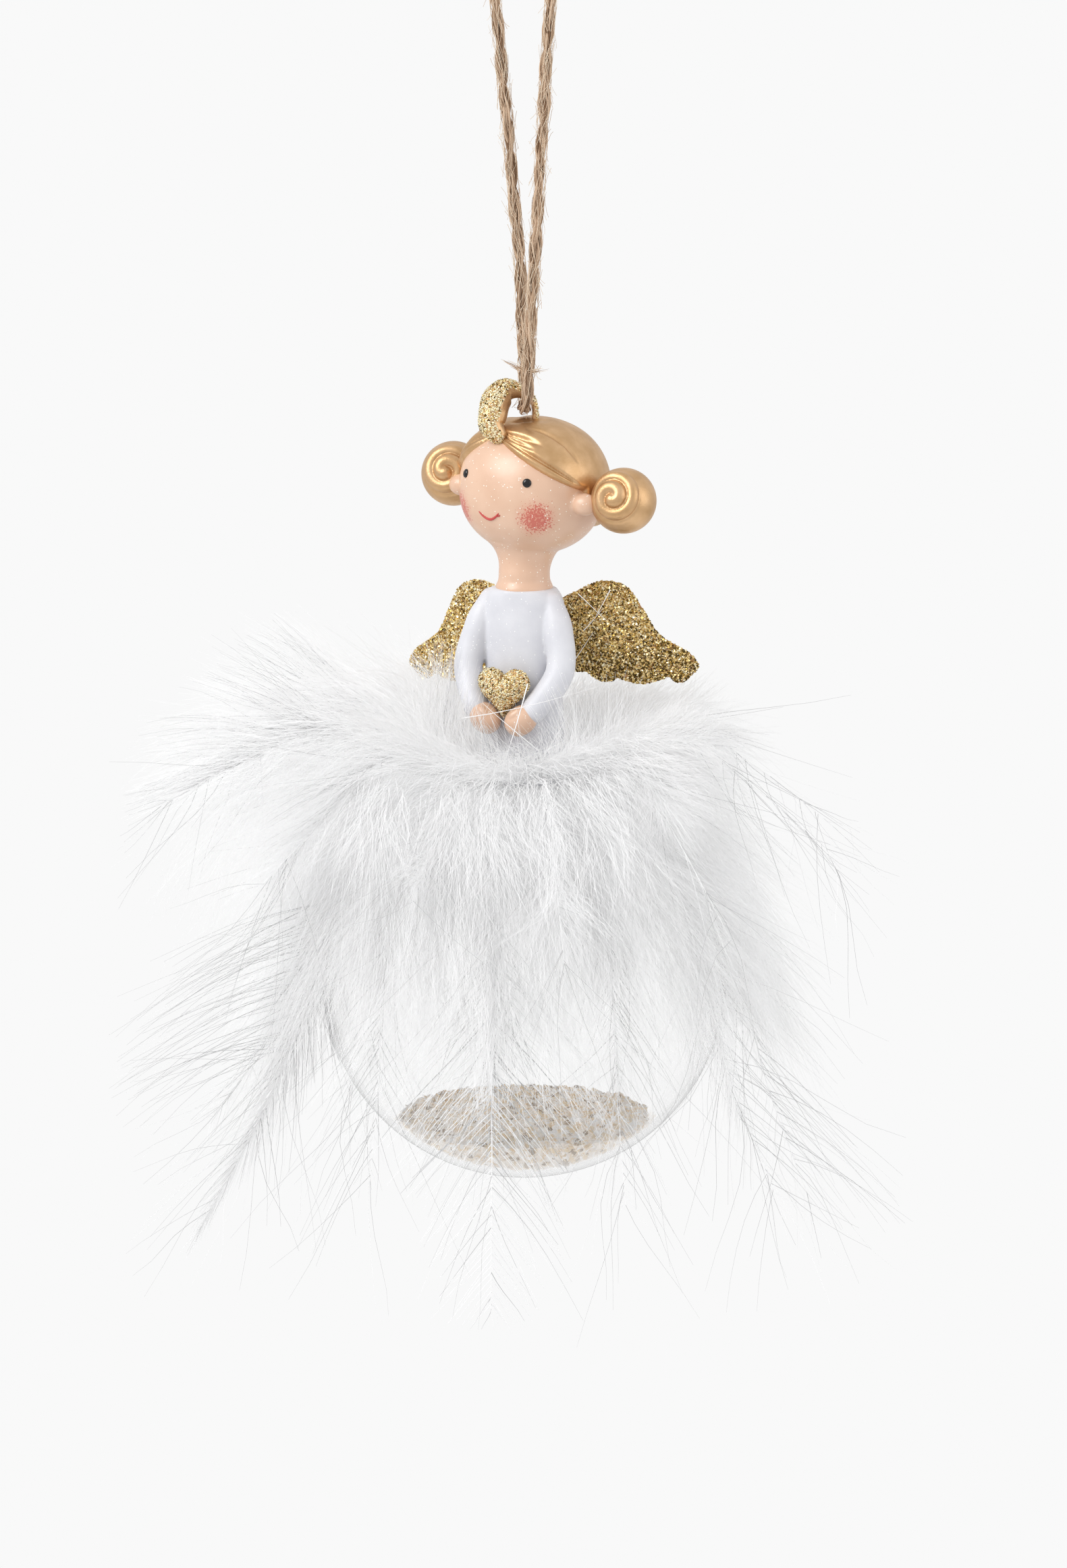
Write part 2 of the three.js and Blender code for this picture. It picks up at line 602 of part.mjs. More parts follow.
// Feathers: each is a leaf-shaped vane with a raised quill. along is a curve of (radius, height) from the
// root at the hem to the tip, and the vane stays inside its own sector of the skirt.
function featherGeometry(azimuth, along) {
  const outward = new THREE.Vector3(Math.sin(azimuth), -Math.cos(azimuth), 0);
  const across = new THREE.Vector3(Math.cos(azimuth), Math.sin(azimuth), 0);
  const points = along.map(([radius, height]) => outward.clone().multiplyScalar(radius).setZ(height));
  const path = new THREE.CatmullRomCurve3(points, false, 'centripetal');
  const stations = 12;
  const sections = [];
  for (let i = 0; i <= stations; i++) {
    const share = i / stations;
    const middle = path.getPointAt(share);
    const normal = new THREE.Vector3().crossVectors(across, path.getTangentAt(share)).negate();
    const radius = middle.dot(outward);
    const leaf = Math.sin(Math.PI * Math.max(0, (share - 0.08) / 0.92)) ** 0.75;
    const room = radius * Math.tan(radians(SECTOR / 2)) - GAP;
    const half = Math.min(QUILL_WIDTH / 2 + (leaf * (FEATHER_WIDTH - QUILL_WIDTH)) / 2, room);
    const ridge = FEATHER_THICKNESS * (0.5 - 0.25 * share);
    const droop = (half * half) / (2.5 * BALL_RADIUS);
    sections.push([
      middle.clone().addScaledVector(across, -half).addScaledVector(normal, -droop),
      middle.clone().addScaledVector(normal, -ridge),
      middle.clone().addScaledVector(across, half).addScaledVector(normal, -droop),
      middle.clone().addScaledVector(normal, ridge),
    ]);
  }
  return new LoftGeometry(sections, { capStart: true, capEnd: true });
}

const rootRadius = HEM_WIDTH / 2 + FEATHER_ROOT_GAP;
function onBall(angle, lay) {
  const radius = BALL_RADIUS + lay;
  return [radius * Math.sin(angle), radius * Math.cos(angle) - BALL_RADIUS];
}
const rootLay = GAP + FEATHER_THICKNESS / 2;
const rootAngle = Math.asin(rootRadius / (BALL_RADIUS + rootLay));
const root = onBall(rootAngle, rootLay);

// Draped layer, from the front round to the figure's left: how far each tip stands out past the ball and
// how far it hangs below the crown
const draped = [[2, 74], [6, 58], [16, 62], [14, 68], [9, 58], [7, 60], [8, 60], [12, 56], [20, 56],
  [20, 66], [4, 56]];
draped.forEach(([reach, drop], i) => {
  const azimuth = radians((i + 0.5) * SECTOR);
  const [radius, height] = onBall(radians(80), DRAPE_LAY);
  const tip = BALL_RADIUS + reach;
  const along = [root, onBall(radians(34), DRAPE_LAY), onBall(radians(57), DRAPE_LAY), [radius, height],
    [radius + 0.4 * (tip - radius), height - 0.5 * (drop + height)], [tip, -drop]];
  addPiece(`feather_low_${String(i + 1).padStart(2, '0')}`, featherGeometry(azimuth, along), featherWhite());
});

// Flared layer, from the front round to the figure's left: how far each tip stands out past the ball, how
// far it hangs below the crown and how high the vane lifts on the way
const flared = [[10, 14, 2.5], [13, 20, 3], [16, 18, 5], [18, 10, 7], [18, 10, 7], [18, 12, 6], [18, 10, 6],
  [20, 5, 7], [25, 1, 8], [26, 6, 8], [16, 13, 5]];
flared.forEach(([reach, drop, lift], i) => {
  const azimuth = radians(i * SECTOR);
  const tip = BALL_RADIUS + reach;
  const along = [root, [rootRadius + 6.5, lift * 0.55], [BALL_RADIUS * 0.8, lift],
    [0.74 * tip, lift - 0.42 * (lift + drop)], [tip, -drop]];
  addPiece(`feather_top_${String(i + 1).padStart(2, '0')}`, featherGeometry(azimuth, along), featherWhite());
});

export default group;
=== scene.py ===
# Hanging ornament: a glass ball with loose glitter in it, a skirt of white feathers glued round its crown,
# and a cast figure with gold wings standing in the feathers. It hangs by a twine loop from the gold curl
# on the head.
import math
import random

import bmesh
import bpy
from mathutils import Matrix, Vector, noise


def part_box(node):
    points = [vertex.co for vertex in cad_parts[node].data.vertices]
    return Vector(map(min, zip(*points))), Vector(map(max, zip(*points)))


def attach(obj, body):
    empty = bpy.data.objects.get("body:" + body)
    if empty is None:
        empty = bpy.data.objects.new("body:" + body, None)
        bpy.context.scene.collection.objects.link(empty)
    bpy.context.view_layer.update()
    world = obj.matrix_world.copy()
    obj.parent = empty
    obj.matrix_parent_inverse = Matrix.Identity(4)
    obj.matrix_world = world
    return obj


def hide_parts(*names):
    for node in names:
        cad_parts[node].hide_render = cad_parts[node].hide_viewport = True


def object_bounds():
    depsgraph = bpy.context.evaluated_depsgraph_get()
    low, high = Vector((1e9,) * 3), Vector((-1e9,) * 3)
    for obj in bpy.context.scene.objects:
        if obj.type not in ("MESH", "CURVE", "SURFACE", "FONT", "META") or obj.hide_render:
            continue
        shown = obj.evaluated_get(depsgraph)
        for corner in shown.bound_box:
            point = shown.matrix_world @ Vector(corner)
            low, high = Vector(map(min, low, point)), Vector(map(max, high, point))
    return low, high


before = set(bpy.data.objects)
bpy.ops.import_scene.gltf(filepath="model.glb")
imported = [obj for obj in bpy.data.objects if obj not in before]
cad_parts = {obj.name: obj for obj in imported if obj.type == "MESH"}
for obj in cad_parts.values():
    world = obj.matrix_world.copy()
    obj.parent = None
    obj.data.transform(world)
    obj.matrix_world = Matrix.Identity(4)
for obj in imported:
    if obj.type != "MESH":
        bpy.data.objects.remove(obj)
cad_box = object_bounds()

# Camera: a long lens at the figure's left front, a little above the skirt. The middle of the ball sits
# left of and below the middle of the picture.
MM = 0.001
LOOK_TURN = math.radians(25)
LOOK_LIFT = math.radians(10.5)
LOOK_DISTANCE = 1.0
PICTURE_HEIGHT = 232.4 * MM
SENSOR_HEIGHT = 36
AIM_RIGHT = 1.35 * MM
AIM_UP = 28.3 * MM
BALL_RADIUS = 30 * MM
UP = Vector((0, 0, 1))
ball_middle = Vector((0, 0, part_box("glass_ball")[0].z + BALL_RADIUS))
crown = ball_middle + BALL_RADIUS * UP


def direction(azimuth, elevation):
    """The way that an azimuth from the figure's front and an elevation point"""
    return Vector((math.sin(azimuth) * math.cos(elevation), -math.cos(azimuth) * math.cos(elevation),
                   math.sin(elevation)))


to_camera = direction(LOOK_TURN, LOOK_LIFT)
picture_right = Vector((math.cos(LOOK_TURN), math.sin(LOOK_TURN), 0))
picture_up = to_camera.cross(picture_right)
aim = ball_middle + AIM_RIGHT * picture_right + AIM_UP * picture_up
lens = bpy.data.cameras.new("camera")
lens.sensor_fit = "VERTICAL"
lens.sensor_height = SENSOR_HEIGHT
lens.lens = SENSOR_HEIGHT * LOOK_DISTANCE / PICTURE_HEIGHT
lens.clip_start = 0.01
camera = bpy.data.objects.new("camera", lens)
looking = Matrix((picture_right, picture_up, to_camera)).transposed().to_4x4()
camera.matrix_world = Matrix.Translation(aim + LOOK_DISTANCE * to_camera) @ looking
bpy.context.scene.collection.objects.link(camera)
bpy.context.scene.camera = camera

# Twine loop: two plies of pale jute, each a bundle of fibres, twisted loosely into a limp string. It is
# one length that runs from the knot down through the curl on the head and up again.
EYE_DEPTH = 74 * MM
EYE_TURN = math.radians(25)
PLY_LAY = 10.5 * MM
PLY_OFFSET = 0.33 * MM
PLY_RADIUS = 0.53 * MM
FIBRE_LAY = 17 * MM
FIBRES_PER_PLY = 18
FIBRE_STEP = 0.4 * MM
FIBRE_RADII = (0.09 * MM, 0.16 * MM)
# Chances of the plain jute, its painted highlight and its painted shade for each fibre
FIBRE_SHADES = (5, 3, 2)
# Run over which a fibre wanders or grows lumpy, and how much
WANDER_RUN, WANDER = 7 * MM, 0.3
LUMP_RUN, LUMP = 3 * MM, 0.35
# Millimetres in the eye's frame
TWINE_ROUTE = (
    (1.2, 0, 76.6), (2.2, 0, 75), (3.9, 0, 73.2), (4.6, 0, 70.5), (4.3, -0.1, 66), (3.3, -0.7, 52),
    (2.35, -1.6, 36), (1.4, -2.5, 20), (0.75, -3.2, 9), (0.6, -3.4, 5), (0.5, -3.2, 2.3), (0.3, -2.4, 1),
    (0.1, -1.2, 0.22), (0, 0, 0), (0, 1.2, 0.22), (0, 2.4, 1), (0, 3.2, 2.3), (-0.05, 3.4, 5),
    (-0.15, 3.2, 9), (-0.6, 2.5, 20), (-1.95, 1.6, 36), (-3.45, 0.7, 52), (-4.7, 0.1, 66), (-4.8, 0, 70.5),
    (-3.9, 0, 73.2), (-2.2, 0, 75), (-1.2, 0, 76.6))
eye_place = Matrix.Translation((0, 0, -EYE_DEPTH)) @ Matrix.Rotation(EYE_TURN, 4, "Z")


def smooth_line(points, steps):
    """A smooth curve through the points, with steps short stretches from each point to the next"""
    ends = [2 * points[0] - points[1], *points, 2 * points[-1] - points[-2]]
    line = []
    for before, start, stop, after in zip(ends, ends[1:], ends[2:], ends[3:]):
        first, gap, last = (max((b - a).length, 1e-9) ** 0.5
                            for a, b in ((before, start), (start, stop), (stop, after)))
        chord = (stop - start) / gap
        leave = ((start - before) / first - (stop - before) / (first + gap) + chord) * gap
        arrive = (chord - (after - start) / (gap + last) + (after - stop) / last) * gap
        for i in range(steps):
            t = i / steps
            line.append((2 * t ** 3 - 3 * t ** 2 + 1) * start + (t ** 3 - 2 * t ** 2 + t) * leave
                        + (3 * t ** 2 - 2 * t ** 3) * stop + (t ** 3 - t ** 2) * arrive)
    return [*line, points[-1]]


def line_length(line):
    return sum((b - a).length for a, b in zip(line, line[1:]))


def even_line(line, count):
    """The same line as count stretches of one length"""
    reach = [0]
    for a, b in zip(line, line[1:]):
        reach.append(reach[-1] + (b - a).length)
    even = []
    at = 0
    for i in range(count + 1):
        goal = reach[-1] * i / count
        while at < len(line) - 2 and reach[at + 1] < goal:
            at += 1
        even.append(line[at].lerp(line[at + 1], (goal - reach[at]) / (reach[at + 1] - reach[at])))
    return even


def directions(line):
    """The line's direction at each of its points"""
    return [(line[min(i + 1, len(line) - 1)] - line[max(i - 1, 0)]).normalized() for i in range(len(line))]


def carried_sides(line):
    """Two directions square to the line at each point, turned as little as possible on the way"""
    side = Vector((0.3, 1, 0.1))
    sides = []
    for forward in directions(line):
        side = (side - side.dot(forward) * forward).normalized()
        sides.append((side, forward.cross(side)))
    return sides


def finish(name, colour, roughness, **sockets):
    """A plain finish. The sockets are further ones of the shader, with _ for a space."""
    material = bpy.data.materials.new(name)
    material.use_nodes = True
    inputs = material.node_tree.nodes["Principled BSDF"].inputs
    inputs["Base Color"].default_value = (*colour, 1)
    inputs["Roughness"].default_value = roughness
    for socket, value in sockets.items():
        inputs[socket.replace("_", " ")].default_value = value
    return material


def rods_mesh(rods, finishes, roundness=0, section=None):
    """A mesh of round rods, or of rods with the given section. Each rod is its points, its radius at each
    point and the number of its finish."""
    curve = bpy.data.curves.new("rods", "CURVE")
    curve.dimensions = "3D"
    curve.bevel_depth = 1
    curve.bevel_resolution = roundness
    curve.use_fill_caps = True
    if section:
        curve.bevel_mode = "OBJECT"
        curve.bevel_object = section
    for material in finishes:
        curve.materials.append(material)
    for points, radii, number in rods:
        spline = curve.splines.new("POLY")
        spline.points.add(len(points) - 1)
        spline.points.foreach_set("co", [value for point in points for value in (*point, 1)])
        spline.points.foreach_set("radius", radii)
        spline.material_index = number
    holder = bpy.data.objects.new("rods", curve)
    bpy.context.scene.collection.objects.link(holder)
    mesh = bpy.data.meshes.new_from_object(holder.evaluated_get(bpy.context.evaluated_depsgraph_get()))
    bpy.data.objects.remove(holder)
    bpy.data.curves.remove(curve)
    return mesh


def set_piece(name, mesh, body, slot, *nodes):
    """Puts a finished mesh in the scene on its body and hides the CAD nodes that it stands for. slot is not
    used.
    """
    piece = bpy.data.objects.new(name, mesh)
    mesh.name = name
    bpy.context.scene.collection.objects.link(piece)
    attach(piece, body)
    if nodes:
        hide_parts(*nodes)
    return piece


def twisted_rods(route, dice):
    """The fibres of a length of twine along route"""
    rough = smooth_line(route, 10)
    line = even_line(rough, max(8, round(line_length(rough) / FIBRE_STEP)))
    sides = carried_sides(line)
    rods = []
    for ply in range(2):
        for _ in range(FIBRES_PER_PLY):
            seat = dice.uniform(0, math.tau)
            depth = PLY_RADIUS * dice.uniform(0.35, 1)
            thick = dice.uniform(*FIBRE_RADII)
            drift = dice.uniform(0, 90)
            points = []
            radii = []
            for i, (point, (side, other)) in enumerate(zip(line, sides)):
                run = i * FIBRE_STEP
                slack = noise.noise((drift, run / WANDER_RUN, ply * 9))
                turn = math.tau * run / PLY_LAY + math.pi * ply
                own = seat - math.tau * run / FIBRE_LAY + 4 * WANDER * slack
                off = depth * (1 + WANDER * slack)
                across = PLY_OFFSET * math.cos(turn) + off * math.cos(own)
                along = PLY_OFFSET * math.sin(turn) + off * math.sin(own)
                points.append(point + across * side + along * other)
                radii.append(thick * (1 + LUMP * noise.noise((run / LUMP_RUN, drift, 4))))
            rods.append((points, radii, dice.choices((0, 1, 2), FIBRE_SHADES)[0]))
    return rods


# The pale and dark jute finishes are lighter and darker copies of the jute: painted highlight and painted
# shade on single fibres
jute_finishes = [finish("jute", (0.44, 0.295, 0.19), 0.85), finish("jute painted highlight", (0.64, 0.465, 0.325), 0.8),
                 finish("jute painted shade", (0.25, 0.145, 0.08), 0.9), finish("jute hair", (0.82, 0.68, 0.52), 0.7)]
twine_route = [eye_place @ (Vector(point) * MM) for point in TWINE_ROUTE]
twine_line = smooth_line(twine_route, 8)
twine_fibres = twisted_rods(twine_route, random.Random(11))
twine = set_piece("twine", rods_mesh(twine_fibres, jute_finishes), "twine", "jute", "twine_loop")

# Loose jute hairs: fibre ends that have worked out of the twist and lie across the twine or stand off it,
# with two thicker tufts of broken fibre low on the strands
HAIR_COUNT = 560
HAIR_RADIUS = 0.028 * MM
HAIR_SEAT = 0.86 * MM
HAIR_STRETCHES = 400
LOOSE_SHARE = 0.25
TUFT_HAIRS = 11
TUFT_RADIUS = 0.06 * MM
# Foot and reach of each tuft in the eye's frame, in millimetres
TUFTS = (((-0.5, -3.7, 6.3), (-2.5, 0, 1.3)), ((0.9, -3.9, 5.9), (2.3, 0, 0.45)))


def scatter(dice, spread=1):
    """A random offset in all directions"""
    return Vector([dice.gauss(0, spread) for _ in range(3)])


def hair_rods(dice):
    line = even_line(twine_line, HAIR_STRETCHES)
    sides = carried_sides(line)
    step = line_length(line) / HAIR_STRETCHES
    rods = []
    for _ in range(HAIR_COUNT):
        start = dice.randrange(10, HAIR_STRETCHES - 25)
        reach = dice.uniform(3, 9) * MM
        turn = dice.uniform(0, math.tau)
        wind = dice.choice((-1, 1)) * dice.uniform(0.5, 2.6)
        lift = (dice.uniform(0.3, 1.1) if dice.random() < LOOSE_SHARE else dice.uniform(0, 0.12)) * MM
        points = []
        for i in range(9):
            t = i / 8
            at = min(HAIR_STRETCHES - 1, start + round(t * reach / step))
            side, other = sides[at]
            angle = turn + wind * t
            off = HAIR_SEAT + lift * (2 * t - 1) ** 2
            points.append(line[at] + off * (math.cos(angle) * side + math.sin(angle) * other))
        # Loose hairs are the pale jute with its painted highlight, or the paler jute hair
        rods.append((points, [HAIR_RADIUS * dice.uniform(0.7, 1.3)] * 9, dice.choice((1, 3, 3))))
    for place, reach in TUFTS:
        for _ in range(TUFT_HAIRS):
            foot = Vector(place) + scatter(dice, 0.2)
            tip = foot + Vector(reach) * dice.uniform(0.5, 1.1) + scatter(dice, 0.1)
            points = [eye_place @ (MM * foot.lerp(tip, i / 4)) for i in range(5)]
            radii = [TUFT_RADIUS * (1 - 0.85 * i / 4) for i in range(5)]
            # Tuft hairs are plain jute, the pale jute with its painted highlight, or jute hair
            rods.append((points, radii, dice.choice((0, 1, 3))))
    return rods


loose_hairs = hair_rods(random.Random(12))
twine_hairs = set_piece("twine_hairs", rods_mesh(loose_hairs, jute_finishes), "twine", "jute")

# Knot: the two ends of the twine go up through two turns of itself and end in short cut tails. It is above
# the photograph, so its form is the plain overhand knot of such a loop.
KNOT_FOOT = 76.9 * MM
KNOT_HEIGHT = 4 * MM
KNOT_TAIL = 9 * MM
WRAP_RADIUS = 1.32 * MM
WRAP_TURNS = 2.1
WRAP_INSET = 0.85 * MM


def knot_rods(dice):
    rods = []
    for side in (1, -1):
        tail = [(1.1 * MM, -0.3 * MM), (0.5 * MM, 0.4 * KNOT_HEIGHT), (0.8 * MM, KNOT_HEIGHT),
                (1.6 * MM, 6.7 * MM), (2.2 * MM + 0.2 * KNOT_TAIL, KNOT_HEIGHT + 0.8 * KNOT_TAIL)]
        route = [eye_place @ Vector((side * across, 0, KNOT_FOOT + up)) for across, up in tail]
        rods += twisted_rods(route, dice)
    wrap = []
    for i in range(26):
        share = i / 25
        turn = math.tau * WRAP_TURNS * share
        height = KNOT_FOOT + WRAP_INSET + (KNOT_HEIGHT - 2 * WRAP_INSET) * share
        wrap.append(eye_place @ Vector((WRAP_RADIUS * math.cos(turn), WRAP_RADIUS * math.sin(turn), height)))
    return rods + twisted_rods(wrap, dice)


knot_fibres = knot_rods(random.Random(13))
twine_knot = set_piece("knot", rods_mesh(knot_fibres, jute_finishes), "twine", "jute", "twine_knot")

# Glass ball: blown clear glass, one thin wall with an open neck that stands in the foot of the figure
GLASS_WALL = 0.9 * MM
NECK_RADIUS = 4.2 * MM
NECK_HEIGHT = 5.5 * MM


def turned(profile, steps):
    """A body turned about the upright axis from its half outline of (radius, height)"""
    body = bmesh.new()
    verts = [body.verts.new((radius, 0, height)) for radius, height in profile]
    edges = [body.edges.new(pair) for pair in zip(verts, verts[1:])]
    bmesh.ops.spin(body, geom=verts + edges, cent=(0, 0, 0), axis=(0, 0, 1), angle=math.tau, steps=steps,
                   use_merge=True)
    bmesh.ops.remove_doubles(body, verts=body.verts, dist=0.0001 * MM)
    bmesh.ops.recalc_face_normals(body, faces=body.faces)
    return body


def body_mesh(body, finishes, smooth=True):
    """Makes the bmesh a mesh with its finishes"""
    for face in body.faces:
        face.smooth = smooth
    mesh = bpy.data.meshes.new("body")
    body.to_mesh(mesh)
    body.free()
    for material in finishes:
        mesh.materials.append(material)
    return mesh


def bowl(radius, end, steps):
    """Half outline of a round bowl about the middle of the ball, from its lowest point up to the angle end"""
    return [(radius * math.sin(end * i / steps), ball_middle.z - radius * math.cos(end * i / steps))
            for i in range(steps + 1)]


def wall_profile(radius, neck):
    """Half outline of the ball from its lowest point up to the neck"""
    return bowl(radius, math.pi - math.asin(neck / radius), 72)


inner_radius = BALL_RADIUS - GLASS_WALL
inner_neck = NECK_RADIUS - GLASS_WALL
neck_top = crown.z + NECK_HEIGHT
ball_profile = [*wall_profile(BALL_RADIUS, NECK_RADIUS), (NECK_RADIUS, neck_top), (inner_neck, neck_top),
                *reversed(wall_profile(inner_radius, inner_neck))]
clear_glass = finish("clear glass", (1, 1, 1), 0.0, Transmission_Weight=1, IOR=1.46)
ball = turned(ball_profile, 144)
set_piece("ball", body_mesh(ball, [clear_glass]), "ornament", "clear_glass", "glass_ball")

# Loose glitter: champagne foil flakes lying in the bottom of the ball, heaped a little in the middle and
# free to slide. A bed of packed flakes carries a layer of single ones. A faint glow stands for the light
# that the flakes pass on to each other inside the glass.
FILL_DEPTH = 7.4 * MM
FILL_HEAP = 1.7 * MM
FILL_CLEARANCE = 0.45 * MM
FILL_FLAKES = 5200
FILL_GLOW = 0.1
FLAKE_THICKNESS = 0.05 * MM
FLAKE_BATCH = 120


def spots_on(faces, count, dice):
    """Places spread evenly over the faces, each a point and the normal there"""
    corners = []
    areas = []
    for face in faces:
        first, *rest = [vert.co for vert in face.verts]
        for second, third in zip(rest, rest[1:]):
            corners.append((first, second, third, face.normal))
            areas.append((second - first).cross(third - first).length)
    spots = []
    for first, second, third, normal in dice.choices(corners, areas, k=count):
        u, v = dice.random(), dice.random()
        if u + v > 1:
            u, v = 1 - u, 1 - v
        spots.append((first + u * (second - first) + v * (third - first), normal.copy()))
    return spots


def flake_body(spots, sizes, tilt, lift, shades, dice, corners=6):
    """Foil flakes on the spots, tilted at random. shades gives the chance of each finish at a spot."""
    batches = []
    for first in range(0, len(spots), FLAKE_BATCH):
        batch = bmesh.new()
        for point, normal in spots[first:first + FLAKE_BATCH]:
            lean = (normal + tilt * scatter(dice)).normalized().to_track_quat("Z", "Y").to_matrix().to_4x4()
            turn = lean @ Matrix.Rotation(dice.uniform(0, 6.3), 4, "Z")
            place = Matrix.Translation(point + lift * dice.uniform(0.3, 1) * normal) @ turn
            flake = bmesh.ops.create_circle(batch, cap_ends=True, segments=corners,
                                            radius=dice.uniform(*sizes), matrix=place)
            chances = shades(point)
            face = flake["verts"][0].link_faces[0]
            face.material_index = dice.choices(range(len(chances)), chances)[0]
        batches.append(batch)
    body = joined(*batches)
    bmesh.ops.solidify(body, geom=body.faces[:], thickness=FLAKE_THICKNESS)
    bmesh.ops.recalc_face_normals(body, faces=body.faces)
    return body


def joined(*bodies):
    """One bmesh of several"""
    whole = bmesh.new()
    for body in bodies:
        mesh = bpy.data.meshes.new("part")
        body.to_mesh(mesh)
        body.free()
        whole.from_mesh(mesh)
        bpy.data.meshes.remove(mesh)
    return whole


def fill_bed():
    radius = inner_radius - FILL_CLEARANCE - 0.25 * MM
    depth = FILL_DEPTH - 0.5 * MM
    edge = math.acos((radius - depth) / radius)
    profile = bowl(radius, edge, 20)
    brim, level = profile[-1]
    for i in range(1, 26):
        share = 1 - i / 25
        profile.append((brim * share, level + FILL_HEAP * (1 - share ** 2)))
    bed = turned(profile, 96)
    for vert in bed.verts:
        if vert.co.z > level + 0.02 * MM:
            rough = noise.noise(vert.co / (2.1 * MM)) + 0.6 * noise.noise(vert.co / (0.9 * MM))
            vert.co.z += 0.55 * MM * rough
    bed.normal_update()
    return bed


fill_dice = random.Random(21)
bed = fill_bed()
fill_flakes = flake_body(spots_on(bed.faces, FILL_FLAKES, fill_dice), (0.28 * MM, 0.62 * MM), 0.42, 0.28 * MM,
                         lambda point: (5, 3, 4, 1.2), fill_dice)
glitter_finishes = [finish(f"{name} foil", colour, 0.38, Metallic=0.1, Emission_Color=(*colour, 1),
                           Emission_Strength=FILL_GLOW)
                    for name, colour in (("champagne", (0.92, 0.86, 0.79)), ("silver", (0.97, 0.95, 0.93)),
                                         ("gold", (0.84, 0.68, 0.46)), ("shaded", (0.38, 0.28, 0.18)))]
set_piece("glitter", body_mesh(joined(bed, fill_flakes), glitter_finishes, False), "fill", "loose_glitter",
          "glitter_fill")

# Dress: the bodice and both sleeves are one resin casting, painted white with a fine pearl. The arms lie
# against the body with a soft crease, and the hem sits on the crown of the ball.
HEM_WIDTH, HEM_DEPTH = 12.6 * MM, 11.4 * MM
WAIST_WIDTH, WAIST_DEPTH, WAIST_HEIGHT = 11.4 * MM, 10 * MM, 14 * MM
CHEST_WIDTH, CHEST_DEPTH, CHEST_HEIGHT = 12.8 * MM, 9.4 * MM, 23.5 * MM
NECKLINE_WIDTH, NECKLINE_DEPTH, NECKLINE_HEIGHT = 9.6 * MM, 8.8 * MM, 28.2 * MM
SHOULDER = Vector((5.9, -1.2, 25)) * MM
ELBOW = Vector((7.4, -3.6, 16.5)) * MM
WRIST = Vector((4.7, -6.6, 11.2)) * MM
BLACK, WHITE = (0, 0, 0), (1, 1, 1)
# Numbers of a mix node's sockets for colours
MIX_SHARE, MIX_UNDER, MIX_OVER, MIX_RESULT = 0, 6, 7, 2
figure_place = Matrix.Translation(crown)


def lofted(rings, segments=56):
    """A closed body through rings, each given as the place of a unit circle"""
    body = bmesh.new()
    loops = []
    for place in rings:
        verts = bmesh.ops.create_circle(body, segments=segments, radius=1, matrix=place)["verts"]
        loops.append(list({edge for vert in verts for edge in vert.link_edges}))
    for lower, upper in zip(loops, loops[1:]):
        bmesh.ops.bridge_loops(body, edges=lower + upper)
    bmesh.ops.holes_fill(body, edges=loops[0] + loops[-1])
    bmesh.ops.recalc_face_normals(body, faces=body.faces)
    return body


def body_of(mesh):
    """A bmesh of the mesh, which is then deleted"""
    body = bmesh.new()
    body.from_mesh(mesh)
    bpy.data.meshes.remove(mesh)
    return body


def limb(points, radii, steps=10):
    """A round limb through the points, with round ends"""
    line = smooth_line(points, steps)
    widths = [width.x for width in smooth_line([Vector((radius, 0, 0)) for radius in radii], steps)]
    round_off = [math.radians(angle) for angle in (75, 50, 25)]
    for _ in range(2):
        out = (line[0] - line[1]).normalized() * widths[0]
        line = [*(line[0] + math.sin(angle) * out for angle in round_off), *line]
        widths = [*(widths[0] * math.cos(angle) for angle in round_off), *widths]
        line.reverse()
        widths.reverse()
    return body_of(rods_mesh([(line, widths, 0)], [], 6))


def cast(bodies, grain, rounds):
    """One casting of bodies that run into each other, with the inner corners filled and the edges softened"""
    blank = bpy.data.objects.new("blank", body_mesh(joined(*bodies), []))
    bpy.context.scene.collection.objects.link(blank)
    grid = blank.modifiers.new("grid", "REMESH")
    grid.mode = "VOXEL"
    grid.voxel_size = grain
    evaluated = blank.evaluated_get(bpy.context.evaluated_depsgraph_get())
    body = body_of(bpy.data.meshes.new_from_object(evaluated))
    bpy.data.objects.remove(blank)
    for _ in range(rounds):
        bmesh.ops.smooth_vert(body, verts=body.verts, factor=0.5, use_axis_x=True, use_axis_y=True,
                              use_axis_z=True)
    bmesh.ops.recalc_face_normals(body, faces=body.faces)
    return body


def bodice_body():
    levels = [(HEM_WIDTH, HEM_DEPTH, -0.6 * MM), (HEM_WIDTH, HEM_DEPTH, WAIST_HEIGHT * 0.35),
              (WAIST_WIDTH, WAIST_DEPTH, WAIST_HEIGHT), (CHEST_WIDTH, CHEST_DEPTH, CHEST_HEIGHT),
              ((CHEST_WIDTH + NECKLINE_WIDTH) / 2 + 0.6 * MM, NECKLINE_DEPTH + 0.3 * MM,
               (CHEST_HEIGHT + 2 * NECKLINE_HEIGHT) / 3), (NECKLINE_WIDTH, NECKLINE_DEPTH, NECKLINE_HEIGHT)]
    rings = [figure_place @ Matrix.Translation((0, 0, height)) @ Matrix.Diagonal((width / 2, depth / 2, 1, 1))
             for width, depth, height in smooth_line([Vector(level) for level in levels], 6)]
    return lofted(rings)


def sleeve_body(side):
    mirror = Vector((side, 1, 1))
    shoulder, elbow, wrist = (figure_place @ (point * mirror) for point in (SHOULDER, ELBOW, WRIST))
    cap = shoulder + Vector((-side * 0.9, 0.2, 1.41)) * MM
    return limb([cap, shoulder.lerp(elbow, 0.3), elbow, wrist], [1.58 * MM, 2.2 * MM, 2.15 * MM, 1.95 * MM])


